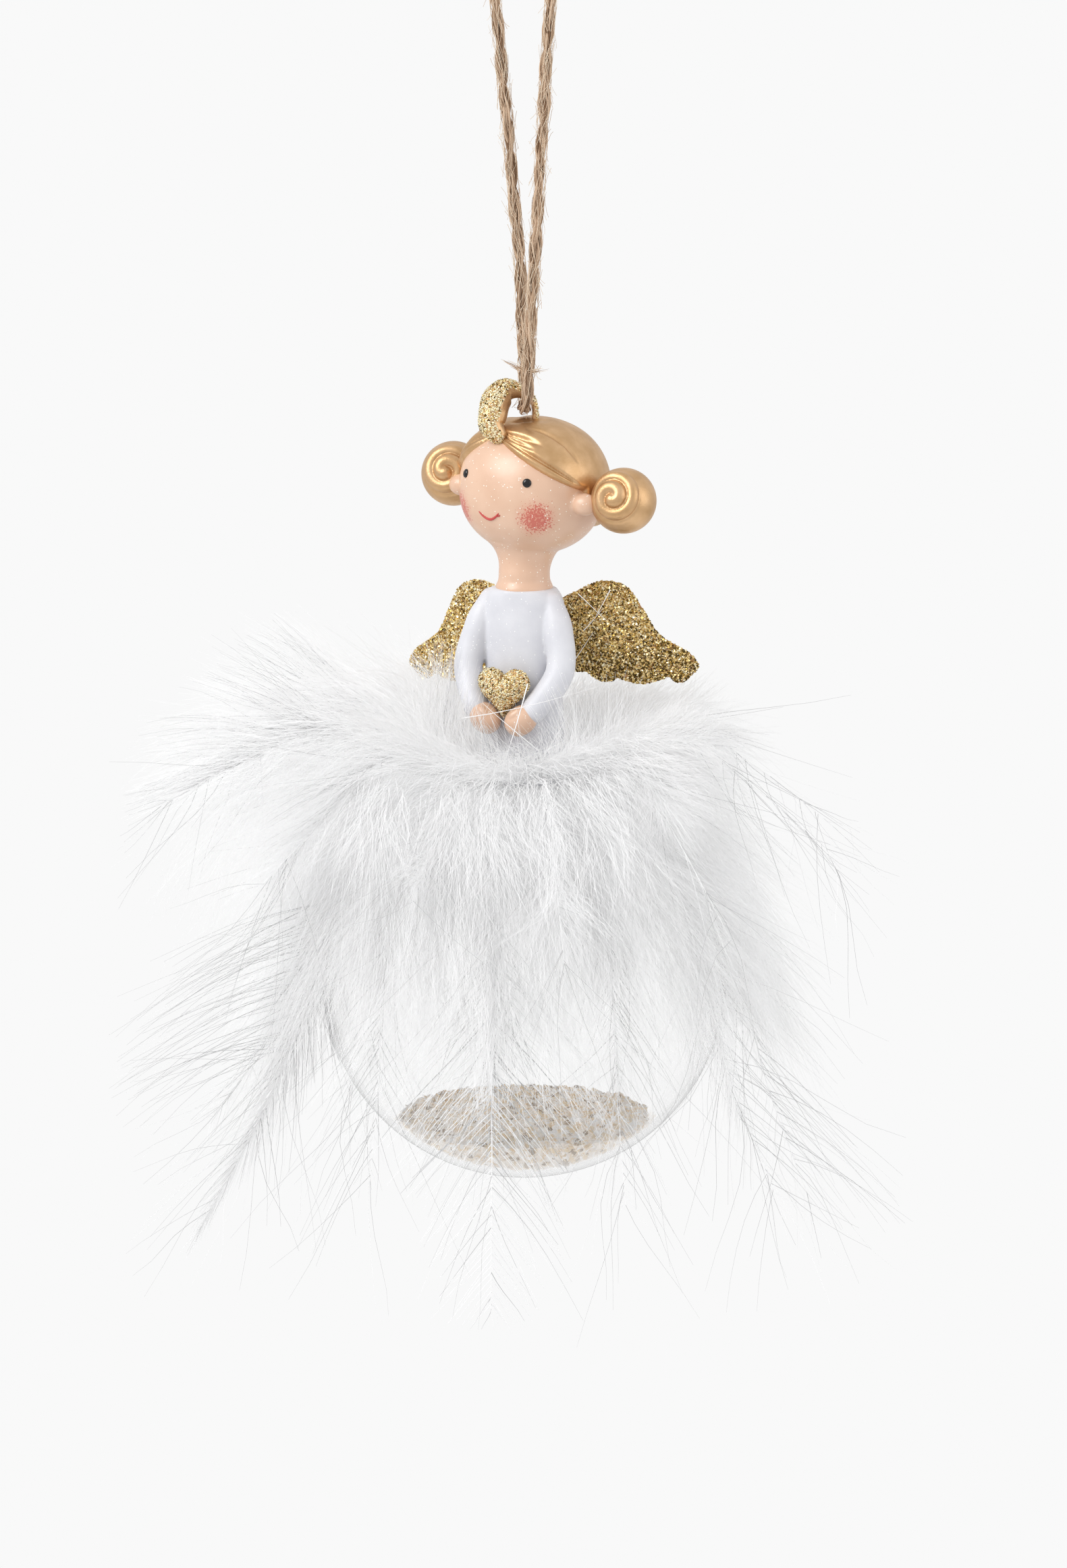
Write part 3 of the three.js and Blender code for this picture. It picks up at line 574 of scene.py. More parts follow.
def add_node(tree, kind, *inputs, **settings):
    """A shader node. Each input is a socket with its value or with the output that feeds it."""
    node = tree.nodes.new(f"ShaderNode{kind}")
    for name, value in settings.items():
        setattr(node, name, value)
    for socket, value in inputs:
        if isinstance(value, bpy.types.NodeSocket):
            tree.links.new(value, node.inputs[socket])
        else:
            node.inputs[socket].default_value = value
    return node


def feed(material, socket, output):
    """Feeds an output into a socket of the finish"""
    tree = material.node_tree
    tree.links.new(output, tree.nodes["Principled BSDF"].inputs[socket])


def pattern(material, kind, grain):
    """A texture of the given kind and grain size on the piece's own coordinates"""
    place = add_node(material.node_tree, "TexCoord").outputs["Object"]
    return add_node(material.node_tree, kind, ("Vector", place), ("Scale", 1 / grain))


def ramp(material, source, *stops):
    """A colour ramp over a value. stops are (position, colour)."""
    node = add_node(material.node_tree, "ValToRGB", (0, source))
    elements = node.color_ramp.elements
    while len(elements) < len(stops):
        elements.new(0.5)
    for element, (position, colour) in zip(elements, stops):
        element.position = position
        element.color = (*colour, 1)
    return node.outputs[0]


def clouded(material, grain, dark, pale):
    """A colour that drifts between dark and pale"""
    return ramp(material, pattern(material, "TexNoise", grain).outputs[0], (0.3, dark), (0.7, pale))


def blend_colours(material, share, under, over):
    """The colour over laid on the colour under, by share"""
    mix = add_node(material.node_tree, "Mix", (MIX_SHARE, share), (MIX_UNDER, under), (MIX_OVER, (*over, 1)),
                   data_type="RGBA")
    return mix.outputs[MIX_RESULT]


def grainy(material, grain, low, high, depth):
    """A fine grain in a finish: a roughness between low and high, and dents"""
    tree = material.node_tree
    value = pattern(material, "TexNoise", grain).outputs[0]
    level = add_node(tree, "MapRange", ("Value", value), ("To Min", low), ("To Max", high))
    dents = add_node(tree, "Bump", ("Distance", depth), ("Height", value))
    feed(material, "Roughness", level.outputs["Result"])
    feed(material, "Normal", dents.outputs["Normal"])


def sparkle(material, grain, share):
    """A mask of single specks, the given share of cells of the grain size, for painted glints"""
    tree = material.node_tree
    cells = pattern(material, "TexVoronoi", grain)
    draw = add_node(tree, "SeparateColor", (0, cells.outputs["Color"])).outputs[0]
    chosen = ramp(material, draw, (0, BLACK), (1 - share, BLACK), (1 - share + 0.004, WHITE))
    middle = ramp(material, cells.outputs["Distance"], (0, WHITE), (0.34, WHITE), (0.4, BLACK))
    return add_node(tree, "Math", (0, chosen), (1, middle), operation="MULTIPLY").outputs[0]


def white_resin():
    material = finish("white resin", (0.79, 0.80, 0.83), 0.42)
    base = clouded(material, 3.5 * MM, (0.67, 0.675, 0.72), (0.74, 0.745, 0.785))
    # Pearl flakes in the paint, with their glints painted in as white specks
    specks = sparkle(material, 0.22 * MM, 0.035)
    feed(material, "Base Color", blend_colours(material, specks, base, WHITE))
    grainy(material, 0.35 * MM, 0.3, 0.56, 0.02 * MM)
    return material


resin = white_resin()
dress = cast([bodice_body(), sleeve_body(1), sleeve_body(-1)], 0.2 * MM, 7)
set_piece("dress", body_mesh(dress, [resin]), "ornament", "white_resin", "bodice", "left_sleeve",
          "right_sleeve")

# Head: one casting with the neck and the ears, painted a satin peach with fine pearl specks, a stippled
# red blush on each cheek, glossy black dots for eyes and a thin red smile. It is turned and tilted a
# little to its right.
HEAD_SIZES = Vector((21.4, 20.2, 19.4)) * MM
HEAD_FULLNESS = 2.15
HEAD_LEVEL = 42.7 * MM
HEAD_SET_BACK = 1.85 * MM
HEAD_TURN = math.radians(13)
HEAD_TILT = math.radians(2.4)
NECK_SLIM = 3.75 * MM
NECK_FILLET = 5.3 * MM
NECK_LEAN = 1.2 * MM
EAR_SIZES = Vector((4.2, 3.4, 3.3)) * MM
EAR_FORWARD = 2.2 * MM
EAR_DROP = 0.8 * MM
EYE_RADIUS, EYE_PROUD = 0.66 * MM, 0.34 * MM
EYE_ACROSS, EYE_HEIGHT = 5.65 * MM, 2.3 * MM
BLUSH_ACROSS, BLUSH_HEIGHT = 6.8 * MM, -3 * MM
# The soft red and its stipple: where each begins and ends to fade about the cheek's middle, and its share
# there
BLUSH_FADES = ((0.2 * MM, 3.8 * MM, 0.6, 0), (0.3 * MM, 4.6 * MM, 0.2, -0.2))
# The smile and the small fork at its end, in millimetres on the face, with their thickness
MOUTH_LINES = (
    (0.19, ((-2.15, -2.75), (-1.5, -3.25), (-0.75, -3.62), (-0.1, -3.68), (0.6, -3.4), (1.2, -2.95),
            (1.55, -2.55))),
    (0.11, ((1.1, -3.02), (1.5, -2.98), (1.8, -2.8))))
head_place = (figure_place @ Matrix.Translation((HEAD_SET_BACK * math.sin(HEAD_TURN),
                                                 HEAD_SET_BACK * math.cos(HEAD_TURN), HEAD_LEVEL))
              @ Matrix.Rotation(-HEAD_TURN, 4, "Z") @ Matrix.Rotation(HEAD_TILT, 4, "Y"))


def full_ball(sizes, fullness, subdivisions):
    """A ball with the given sizes, squarer than an egg by its fullness"""
    body = bmesh.new()
    bmesh.ops.create_icosphere(body, subdivisions=subdivisions, radius=1)
    for vert in body.verts:
        vert.co *= sum(abs(value) ** fullness for value in vert.co.normalized()) ** (-1 / fullness)
        vert.co = vert.co * sizes / 2
    return body


def placed(body, place):
    bmesh.ops.transform(body, matrix=place, verts=body.verts)
    return body


def on_face(across, height, lift=0):
    """Place on the front of the skull, in the head's own frame: the face looks along -Y"""
    shares = abs(2 * across / HEAD_SIZES.x) ** HEAD_FULLNESS + abs(2 * height / HEAD_SIZES.z) ** HEAD_FULLNESS
    forward = HEAD_SIZES.y / 2 * (1 - shares) ** (1 / HEAD_FULLNESS)
    point = Vector((across, -forward, height))
    slope = Vector([math.copysign(abs(2 * v / size) ** (HEAD_FULLNESS - 1) / size, v)
                    for v, size in zip(point, HEAD_SIZES)]).normalized()
    return point + lift * slope, slope


def neck_body():
    foot = NECKLINE_HEIGHT
    rise = HEAD_LEVEL - HEAD_SIZES.z / 2 - foot
    throat = foot + rise * 0.5
    base = NECKLINE_WIDTH / 2 - 0.3 * MM
    spread = math.radians(54)
    profile = [(0, foot - 0.8 * MM), (base - 0.3 * MM, foot - 0.8 * MM), (base - 0.25 * MM, foot + 0.1 * MM),
               ((base + NECK_SLIM) / 2 - 0.35 * MM, foot + rise * 0.24)]
    for i in range(11):
        angle = spread * i / 10
        profile.append((NECK_SLIM + NECK_FILLET * (1 - math.cos(angle)),
                        throat + NECK_FILLET * math.sin(angle)))
    profile.append((0, HEAD_LEVEL - HEAD_SIZES.z * 0.25))
    neck = turned(profile, 64)
    for vert in neck.verts:
        vert.co.y += NECK_LEAN * max(0, vert.co.z - throat) / (NECK_FILLET * math.sin(spread))
    return placed(neck, figure_place)


def ear_body(side):
    cheek = HEAD_SIZES.x / 2 * math.sqrt(1 - (2 * EAR_FORWARD / HEAD_SIZES.y) ** 2)
    place = Matrix.Translation((side * (cheek + 0.225 * EAR_SIZES.x), -EAR_FORWARD, -EAR_DROP))
    return placed(full_ball(EAR_SIZES, 2, 4), head_place @ place)


def eye_body(side):
    point, slope = on_face(side * EYE_ACROSS, EYE_HEIGHT)
    eye = bmesh.new()
    bmesh.ops.create_uvsphere(eye, u_segments=28, v_segments=14, radius=1)
    place = Matrix.Translation(point) @ slope.to_track_quat("Z", "Y").to_matrix().to_4x4()
    return placed(eye, head_place @ place @ Matrix.Diagonal((EYE_RADIUS, EYE_RADIUS, EYE_PROUD, 1)))


def mouth_body():
    rods = []
    for thick, points in MOUTH_LINES:
        line = smooth_line([head_place @ on_face(x * MM, z * MM, 0.03 * MM)[0] for x, z in points], 6)
        last = len(line) - 1
        radii = [thick * MM * (0.35 + 0.65 * math.sin(math.pi * i / last) ** 0.6) for i in range(last + 1)]
        rods.append((line, radii, 0))
    return body_of(rods_mesh(rods, [], 2))


def skin_paint():
    material = finish("peach paint", (0.80, 0.53, 0.38), 0.4, Specular_IOR_Level=0.8)
    tree = material.node_tree
    colour = clouded(material, 4 * MM, (0.735, 0.475, 0.33), (0.785, 0.53, 0.38))
    stipple = pattern(material, "TexNoise", 0.26 * MM).outputs[0]
    place = add_node(tree, "TexCoord").outputs["Object"]
    for side in (1, -1):
        cheek = head_place @ on_face(side * BLUSH_ACROSS, BLUSH_HEIGHT)[0]
        near = add_node(tree, "VectorMath", (0, place), (1, cheek), operation="DISTANCE").outputs["Value"]
        bloom, dotted = [
            add_node(tree, "MapRange", ("Value", near), ("From Min", begin), ("From Max", end),
                     ("To Min", most), ("To Max", least), interpolation_type="SMOOTHSTEP").outputs["Result"]
            for begin, end, most, least in BLUSH_FADES]
        colour = blend_colours(material, bloom, colour, (0.66, 0.19, 0.125))
        dots = add_node(tree, "Math", (0, dotted), (1, stipple), operation="ADD").outputs[0]
        share = ramp(material, dots, (0.55, BLACK), (0.62, (0.85, 0.85, 0.85)))
        colour = blend_colours(material, share, colour, (0.58, 0.1, 0.065))
    # Pearl flakes in the paint, with their glints painted in as pale specks
    specks = sparkle(material, 0.24 * MM, 0.05)
    feed(material, "Base Color", blend_colours(material, specks, colour, (1, 0.93, 0.86)))
    grainy(material, 0.5 * MM, 0.26, 0.4, 0.012 * MM)
    return material


skin = skin_paint()
head_finishes = [skin, finish("black gloss", (0.006, 0.006, 0.007), 0.12),
                 finish("red paint", (0.55, 0.06, 0.055), 0.4)]
skull_ball = placed(full_ball(HEAD_SIZES, HEAD_FULLNESS, 5), head_place)
skull = cast([skull_ball, neck_body(), ear_body(1), ear_body(-1)], 0.2 * MM, 6)
eyes = joined(eye_body(1), eye_body(-1))
mouth = mouth_body()
for number, painted in ((1, eyes), (2, mouth)):
    for face in painted.faces:
        face.material_index = number
set_piece("head", body_mesh(joined(skull, eyes, mouth), head_finishes), "ornament", "skin_paint", "head")

# Hair: a cap modelled on the head and painted satin gold. Thick combed locks sweep from a side parting
# under the curl to each ear, the front one rolled at the hairline, and the nape is cut on a slant.
HAIR_THICKNESS = 0.9 * MM
PARTING = Vector((-2.2, -5.8, 8)) * MM
EAR_TOP = Vector((10.2, -1.6, 1.2)) * MM
HAIRLINE = {1: (4.1 * MM, 5.45 * MM), -1: (-6 * MM, 5.35 * MM)}
HAIRLINE_ROLL = 0.75 * MM
NAPE_SLOPE = math.radians(30)
# Grooves between the locks: how far back they lie, their depth and width, and where they begin and end on
# the way from the parting to the ear
GROOVES = ((0.036, 0.65, 0.01, -3, 2.4), (0.064, 0.85, 0.013, -2.4, -0.1), (0.104, 0.85, 0.015, -2.4, 0.05),
           (0.19, 0.35, 0.01, -0.9, 1.3), (0.3, 0.4, 0.025, -1.8, -0.3), (0.42, 0.3, 0.03, -1.5, 0.2))
# A small lump in the paint
BUMP = Vector((7.93, -3.27, 6.99)) * MM
BUMP_HEIGHT, BUMP_RADIUS = 0.3 * MM, 0.55 * MM


def lock_coordinates(side):
    """For one side of the head: how far back a point lies round the locks, from 0 at the hairline to 1, how
    far along them from the parting to the ear, and how far above the hairline"""
    part = PARTING.normalized()
    ear = (EAR_TOP * Vector((side, 1, 1))).normalized()
    middle = (part + ear).normalized()
    along = (ear - part).normalized()
    over = side * middle.cross(along)
    pole = math.tan(part.angle(ear) / 4)

    def lock_of(point):
        way = point.normalized()
        flat = complex(way.dot(along), way.dot(over)) / (1 + way.dot(middle) + 1e-6)
        ratio = (flat + pole) / (flat - pole + 1e-9)
        return math.atan2(ratio.imag, ratio.real), math.log(abs(ratio) + 1e-9)

    front = on_face(*HAIRLINE[side])[0]
    first = lock_of(front)[0]
    ear_point = EAR_TOP * Vector((side, 1, 1))
    normal = (ear_point - PARTING).cross(front - PARTING).normalized()
    if normal.z < 0:
        normal.negate()

    def where(point):
        turn, run = lock_of(point)
        return (turn - first) / math.tau % 1, run, (point - PARTING).dot(normal)

    return where


def hair_body():
    sides = {1: lock_coordinates(1), -1: lock_coordinates(-1)}
    body = bmesh.new()
    bmesh.ops.create_icosphere(body, subdivisions=7, radius=1)
    for vert in body.verts:
        way = vert.co.copy()
        way *= sum(abs(value) ** HEAD_FULLNESS for value in way) ** (-1 / HEAD_FULLNESS)
        point = way * HEAD_SIZES / 2
        side = 1 if point.x > PARTING.x else -1
        back, run, above = sides[side](point)
        behind = point.y + EAR_FORWARD
        over_nape = (point.z + 0.5 * MM) * math.cos(NAPE_SLOPE) + behind * math.sin(NAPE_SLOPE)
        cover = max(above, min(behind - 0.4 * MM, over_nape))
        height = HAIR_THICKNESS
        for seat, depth, width, begin, end in GROOVES:
            fade = max(0, min(1, (run - begin) / 0.5, (end - run) / 0.7))
            height -= HAIR_THICKNESS * depth * fade * math.exp(-((back - seat) / width) ** 2)
        height += BUMP_HEIGHT * math.exp(-((point - BUMP).length / BUMP_RADIUS) ** 2)
        edge = max(-1, min(1, cover / HAIRLINE_ROLL))
        if edge > 0:
            lift = height * math.sqrt(1 - (1 - edge) ** 2)
        else:
            lift = 1.2 * MM * edge
        vert.co = point + lift * way.normalized()
    bmesh.ops.recalc_face_normals(body, faces=body.faces)
    return placed(body, head_place)


def gold_paint():
    material = finish("gold paint", (0.66, 0.43, 0.2), 0.34, Metallic=0.82)
    feed(material, "Base Color", clouded(material, 2.2 * MM, (0.58, 0.355, 0.17), (0.71, 0.46, 0.25)))
    grainy(material, 0.22 * MM, 0.26, 0.5, 0.02 * MM)
    return material


gold = gold_paint()
set_piece("hair", body_mesh(hair_body(), [gold]), "ornament", "gold_paint", "hair_cap")

# Buns: a round knot of hair on each side of the head, smooth outside, with a lock coiled in a soft spiral
# on its front. They are cast with the head and painted the same gold.
BUN_DIAMETER = 9.6 * MM
BUN_SET_BACK = 1 * MM
BUN_NESTS = {1: 0.3 * MM, -1: 0.9 * MM}
BUN_FACING = {1: math.radians(14), -1: math.radians(23)}
BUN_LIFT = math.radians(15)
COIL_TURNS = 1.75
COIL_RIM = math.radians(52)
COIL_END = {1: 3.3, -1: -0.16}
COIL_SINK = 0.5 * MM
DISH = 0.15
SIDES = (("left", 1), ("right", -1))


def bun_body(side):
    core = full_ball(Vector((1, 1, 1)) * BUN_DIAMETER, 2, 5)
    for vert in core.verts:
        inside = 1 - vert.co.angle(Vector((0, -1, 0))) / COIL_RIM
        vert.co *= 1 - DISH * max(0, min(1, 3 * inside))
    seat = BUN_DIAMETER / 2 - COIL_SINK
    points = []
    radii = []
    for i in range(48):
        share = i / 47
        polar = COIL_RIM * (0.12 + 0.88 * share)
        around = side * math.tau * COIL_TURNS * (share - 1) + COIL_END[side]
        out = seat * math.sin(polar)
        points.append(Vector((out * math.cos(around), -seat * math.cos(polar), out * math.sin(around))))
        radii.append((1.15 - 0.25 * share) * MM * min(1, 0.4 + 5 * (1 - share)))
    bun = cast([core, limb(points, radii, 3)], 0.11 * MM, 2)
    across = HEAD_SIZES.x / 2 + HAIR_THICKNESS + BUN_DIAMETER / 2 - BUN_NESTS[side]
    turn = Matrix.Rotation(BUN_FACING[side], 4, "Z") @ Matrix.Rotation(-BUN_LIFT, 4, "X")
    return placed(bun, head_place @ Matrix.Translation((side * across, BUN_SET_BACK, 0)) @ turn)


for name, side in SIDES:
    set_piece(f"bun_{name}", body_mesh(bun_body(side), [gold]), "ornament", "gold_paint", f"{name}_bun")

# Curl: a lock that rises from the parting, swells, and arches over as the hanging eye. It is gold like the
# hair, with coarse gold glitter glued to its outer face. Rows are the angle round the eye, the radius, how
# far it stands off the twine and how far it lies in front of the eye, in degrees and millimetres.
CURL_ROWS = ((222, 1.3, 2.6, 3.4), (205, 1.8, 2.2, 3), (185, 2.1, 1.25, 2), (160, 2.15, 0.9, 0.8),
             (133, 1.75, 0.85, 0.3), (108, 1.05, 0.55, 0.1), (62, 0.6, 0.15, 0), (7, 0.44, -0.05, 0),
             (-46, 0.44, 0.6, 0))
CURL_STAND_OFF = 1.15
CURL_FLAKES = 2300


def curl_body():
    points = []
    for angle, radius, stand_off, forward in CURL_ROWS:
        distance = CURL_STAND_OFF + stand_off + radius
        turn = math.radians(angle)
        point = Vector((distance * math.cos(turn), -forward, distance * math.sin(turn)))
        points.append(eye_place @ (point * MM))
    return cast([limb(points, [row[1] * MM for row in CURL_ROWS])], 0.12 * MM, 2)


curl_dice = random.Random(31)
curl = curl_body()
eye_middle = eye_place.translation
outer_faces = [face for face in curl.faces
               if face.normal.dot((face.calc_center_median() - eye_middle).normalized()) > 0.3]
# Most flakes are pale painted glints, which make the outer face of the curl bright
curl_flakes = flake_body(spots_on(outer_faces, CURL_FLAKES, curl_dice), (0.15 * MM, 0.23 * MM), 0.4,
                         0.08 * MM, lambda point: (0.5, 3.5, 9, 0.8, 1), curl_dice, 4)
# The pale flakes are painted glints of the glitter, and the nearly black ones are painted dark reflections
gold_finishes = [gold, finish("bright gold flake", (0.86, 0.65, 0.30), 0.2, Metallic=1),
                 finish("painted glint flake", (1, 0.91, 0.64), 0.16, Metallic=0.6),
                 finish("deep gold flake", (0.50, 0.33, 0.09), 0.22, Metallic=1),
                 finish("painted dark reflection flake", (0.11, 0.07, 0.02), 0.25, Metallic=1)]
set_piece("curl", body_mesh(joined(curl, curl_flakes), gold_finishes), "ornament", "gold_glitter",
          "crown_curl")

# Heart: a puffed resin heart, point down between the hands, covered with gold glitter made bright by many
# painted glints
HEART_SIZES = Vector((8, 3.8, 7.2)) * MM
HEART_MIDDLE = Vector((0, -7, 13.7)) * MM
HEART_FLAKES = 2600


def heart_body():
    body = bmesh.new()
    bmesh.ops.create_uvsphere(body, u_segments=72, v_segments=36, radius=1)
    bmesh.ops.rotate(body, cent=(0, 0, 0), matrix=Matrix.Rotation(math.pi / 2, 3, "X"), verts=body.verts)
    for vert in body.verts:
        x, y, z = vert.co
        turn = math.atan2(x, z)
        rim = math.hypot(x, z)
        wide = math.sin(turn) ** 3
        tall = sum(weight * math.cos(i * turn) for i, weight in enumerate((0, 13, -5, -2, -1))) / 16
        vert.co = Vector((wide * rim * HEART_SIZES.x / 2, y * HEART_SIZES.y / 2,
                          (tall * rim + 0.1 * rim) * HEART_SIZES.z / 1.82))
    bmesh.ops.recalc_face_normals(body, faces=body.faces)
    return placed(body, figure_place @ Matrix.Translation(HEART_MIDDLE))


heart_dice = random.Random(32)
heart = cast([heart_body()], 0.15 * MM, 3)
# Many of the flakes are pale painted glints, and some are dark painted reflections
heart_flakes = flake_body(spots_on(heart.faces, HEART_FLAKES, heart_dice), (0.15 * MM, 0.22 * MM), 0.42,
                          0.08 * MM, lambda point: (0, 4, 7.5, 1.4, 1.5), heart_dice, 4)
set_piece("heart", body_mesh(joined(heart, heart_flakes), gold_finishes), "ornament", "gold_glitter", "heart")

# Hands: small mitten hands of the same casting, painted peach, held under the heart
HAND_LENGTH, HAND_WIDTH, FINGER_DIAMETER = 5 * MM, 4.2 * MM, 1.25 * MM


def hand_body(side):
    mirror = Vector((side, 1, 1))
    wrist = WRIST * mirror
    reach = Vector((-side * WRIST.x * 0.62, -1 * MM, -WRIST.z * 0.2)).normalized()
    middle = wrist + (wrist - ELBOW * mirror).normalized() * 0.3 * MM + reach * HAND_LENGTH * 0.45
    turn = UP.rotation_difference(reach).to_matrix().to_4x4()
    palm = full_ball(Vector((HAND_WIDTH, HAND_WIDTH, HAND_LENGTH)), 2.2, 4)
    bodies = [placed(palm, figure_place @ Matrix.Translation(middle) @ turn)]
    for i in range(3):
        finger = full_ball(Vector((FINGER_DIAMETER, FINGER_DIAMETER, HAND_LENGTH * 0.45)), 2.4, 3)
        beside = Vector((0, -HAND_WIDTH * 0.32, (i - 0.6) * 0.75 * FINGER_DIAMETER))
        place = middle + reach * HAND_LENGTH * 0.06 + beside
        bodies.append(placed(finger, figure_place @ Matrix.Translation(place) @ turn))
    return cast(bodies, 0.13 * MM, 5)


for name, side in SIDES:
    set_piece(f"hand_{name}", body_mesh(hand_body(side), [skin]), "ornament", "skin_paint", f"{name}_hand")

# Wings: flat resin plates with a rounded shoulder and a scalloped lower edge, glued to the back as a pair
# that leans a little. Both sides are covered with coarse gold glitter. The left wing has fewer painted glints
# and more dark painted reflections than the right, the more so towards its bottom: painted shade.
WING_SPAN = 24 * MM
WING_TOP, WING_BOTTOM = 28.2 * MM, 13 * MM
WING_THICKNESS = 1.8 * MM
WING_SWEEP = math.radians(10)
WING_LEAN = math.radians(3.3)
WING_ROOT = 2.4 * MM
WING_EDGE = 0.5 * MM
WING_FLAKES = 11500
SCALLOP_HANG = 0.13


def wing_outline():
    """Outline of a wing as (share of the span, share of the height)"""
    inner = WING_ROOT / WING_SPAN
    upper = [(inner, 0.8), (0.22, 0.88), (0.42, 1), (0.56, 0.95), (0.66, 0.74), (0.77, 0.46), (0.95, 0.28),
             (1, 0.15), (0.95, 0.06)]
    outline = smooth_line([Vector((across, up, 0)) for across, up in upper], 6)
    scallops = [(0.95, 0.06), (0.81, 0.06), (0.49, 0.05), (0.29, 0.12), (inner, 0.3)]
    for (from_across, from_up), (across, up) in zip(scallops, scallops[1:]):
        hang = Vector(((from_across + across) / 2, (from_up + up) / 2 - SCALLOP_HANG, 0))
        for i in range(1, 9):
            t = i / 8
            outline.append((1 - t) ** 2 * Vector((from_across, from_up, 0)) + 2 * t * (1 - t) * hang
                           + t ** 2 * Vector((across, up, 0)))
    return outline


def wing_body(side):
    body = bmesh.new()
    tall = WING_TOP - WING_BOTTOM
    verts = [body.verts.new((side * point.x * WING_SPAN, -WING_THICKNESS / 2, (point.y - 0.5) * tall))
             for point in wing_outline()]
    plate = body.faces.new(verts)
    bmesh.ops.solidify(body, geom=[plate], thickness=WING_THICKNESS)
    bmesh.ops.recalc_face_normals(body, faces=body.faces)
    rims = [edge for edge in body.edges if edge.calc_face_angle(0) > 1]
    bmesh.ops.bevel(body, geom=rims, offset=WING_EDGE, affect="EDGES", segments=3, profile=0.5, material=-1)
    bmesh.ops.triangulate(body, faces=body.faces)
    lowest = min(vert.co.y for vert in body.verts)
    highest = max(vert.co.y for vert in body.verts)
    bmesh.ops.translate(body, vec=(0, -(lowest + highest) / 2, 0), verts=body.verts)
    place = (Matrix.Translation((0, WAIST_DEPTH / 2, (WING_TOP + WING_BOTTOM) / 2))
             @ Matrix.Rotation(-WING_LEAN, 4, "Y") @ Matrix.Rotation(side * WING_SWEEP, 4, "Z"))
    return placed(body, figure_place @ place)


def wing_shades(side, point):
    """Chances of the gold finishes at a point of a wing, with painted shade on the left wing that grows
    towards its bottom
    """
    if side < 0:
        return (0, 5, 3, 2.6, 1)
    # Painted shade: more dark-reflection flakes towards the bottom of the left wing
    low = max(0, min(1, (crown.z + 24 * MM - point.z) / (10 * MM)))
    return (0, 4.5, 1.5, 2.8, 1.7 + 5 * low)


for name, side in SIDES:
    wing_dice = random.Random(40 + side)
    wing = wing_body(side)
    flakes = flake_body(spots_on(wing.faces, WING_FLAKES, wing_dice), (0.15 * MM, 0.22 * MM), 0.36, 0.09 * MM,
                        lambda point: wing_shades(side, point), wing_dice, 4)
    wing_mesh = body_mesh(joined(wing, flakes), gold_finishes, False)
    set_piece(f"wing_{name}", wing_mesh, "ornament", "gold_glitter", f"{name}_wing")

# Feathers: white marabou, glued by their roots on the ball round the hem. A lower layer is draped over the
# ball and hangs free below it, an upper layer flares outwards. Near the root each is all down, which
# mingles with that of its neighbours, and towards the tip its barbs lie in two rows along the thin quill.
# A faint glow stands for the light that the barbs pass on to each other.
PER_LAYER = 11
SECTOR = math.tau / PER_LAYER
ROOT_REACH, ROOT_LAY = 8.4 * MM, 0.75 * MM
DRAPE_LAY = 1.1 * MM
DRESS_FOOT, DRESS_CLEAR = -1 * MM, 12 * MM
DRAPED_QUILL, FLARED_QUILL = 0.15 * MM, 0.12 * MM
QUILL_STEPS = 60
BARB_RADIUS = 0.034 * MM
BARB_STEPS = 5
WISP_SIZE = 7.5 * MM
SWIRL_SIZE = 11 * MM
STRAY_ROOM = 8.5 * MM
SKIRT_SPREAD = 60 * MM
DOWN_GLOW = 0.1
# Lines of a layer from one quill to the next, and stretches along each line
LINES_PER_SECTOR = 5
RUN_STEPS = 80
# Chances of the white, bright, shade and loose finishes. Bright and shade are lighter and darker copies of
# the white, painted light and shade on single barbs; loose is a much darker white, painted shade of thin
# backlit barbs
DOWN_SHADES = (5, 3, 2, 0)
ROW_SHADES = (3, 3, 3, 0.8)
WISP_SHADES = (4, 3, 3, 0.3)
TALL_WISP_SHADES = (1, 1, 5, 2)
CROSSING_SHADES = (2, 4, 2, 0)
STRAY_SHADES = (0, 0, 2, 5)
# Reach beyond the ball and drop below its crown, the spacing and length of the barbs in the two rows, how
# far these stand off the quill where the rows begin and at the tip, how far the vane is twisted about the
# quill, and how thick the barbs in the rows are
DRAPED = ((2, 74, 0.8, 26, 0.85, 0.66, 0, 2), (6, 58, 1.8, 16, 0.8, 0.5, 0.3, 1),
          (16, 62, 2.4, 17, 0.7, 0.35, 0.8, 1), (14, 68, 2.4, 17, 0.7, 0.35, 1.4, 1),
          (9, 58, 0.45, 14, 0.8, 0.45, 1.2, 1), (7, 60, 0.45, 14, 0.8, 0.45, 0.2, 1),
          (8, 60, 0.45, 14, 0.8, 0.45, 0, 1), (12, 56, 0.45, 14, 0.8, 0.45, 0.8, 1),
          (20, 56, 0.4, 15, 0.8, 0.4, 1.3, 1), (20, 66, 0.2, 17, 0.5, 0.13, 1.2, 1),
          (4, 56, 1.8, 16, 0.8, 0.5, -0.3, 1))
# Reach beyond the ball, drop below its crown, lift of the quill, how high the down stands on it, how far
# out the down goes and how long it is where it stands up at the hem
FLARED = ((10, 14, 2.5, 3.5, 0.74, 12), (13, 20, 3, 3.5, 0.66, 12), (16, 18, 5, 4, 0.42, 14),
          (18, 10, 7, 2.5, 0.3, 11), (18, 10, 7, 3, 0.34, 11), (18, 12, 6, 4, 0.6, 13),
          (18, 10, 6, 4, 0.7, 13), (20, 5, 7, 5, 0.7, 13), (25, 1, 8, 5, 0.62, 14),
          (26, 6, 8, 6.5, 0.78, 11), (16, 13, 5, 4, 0.76, 15))
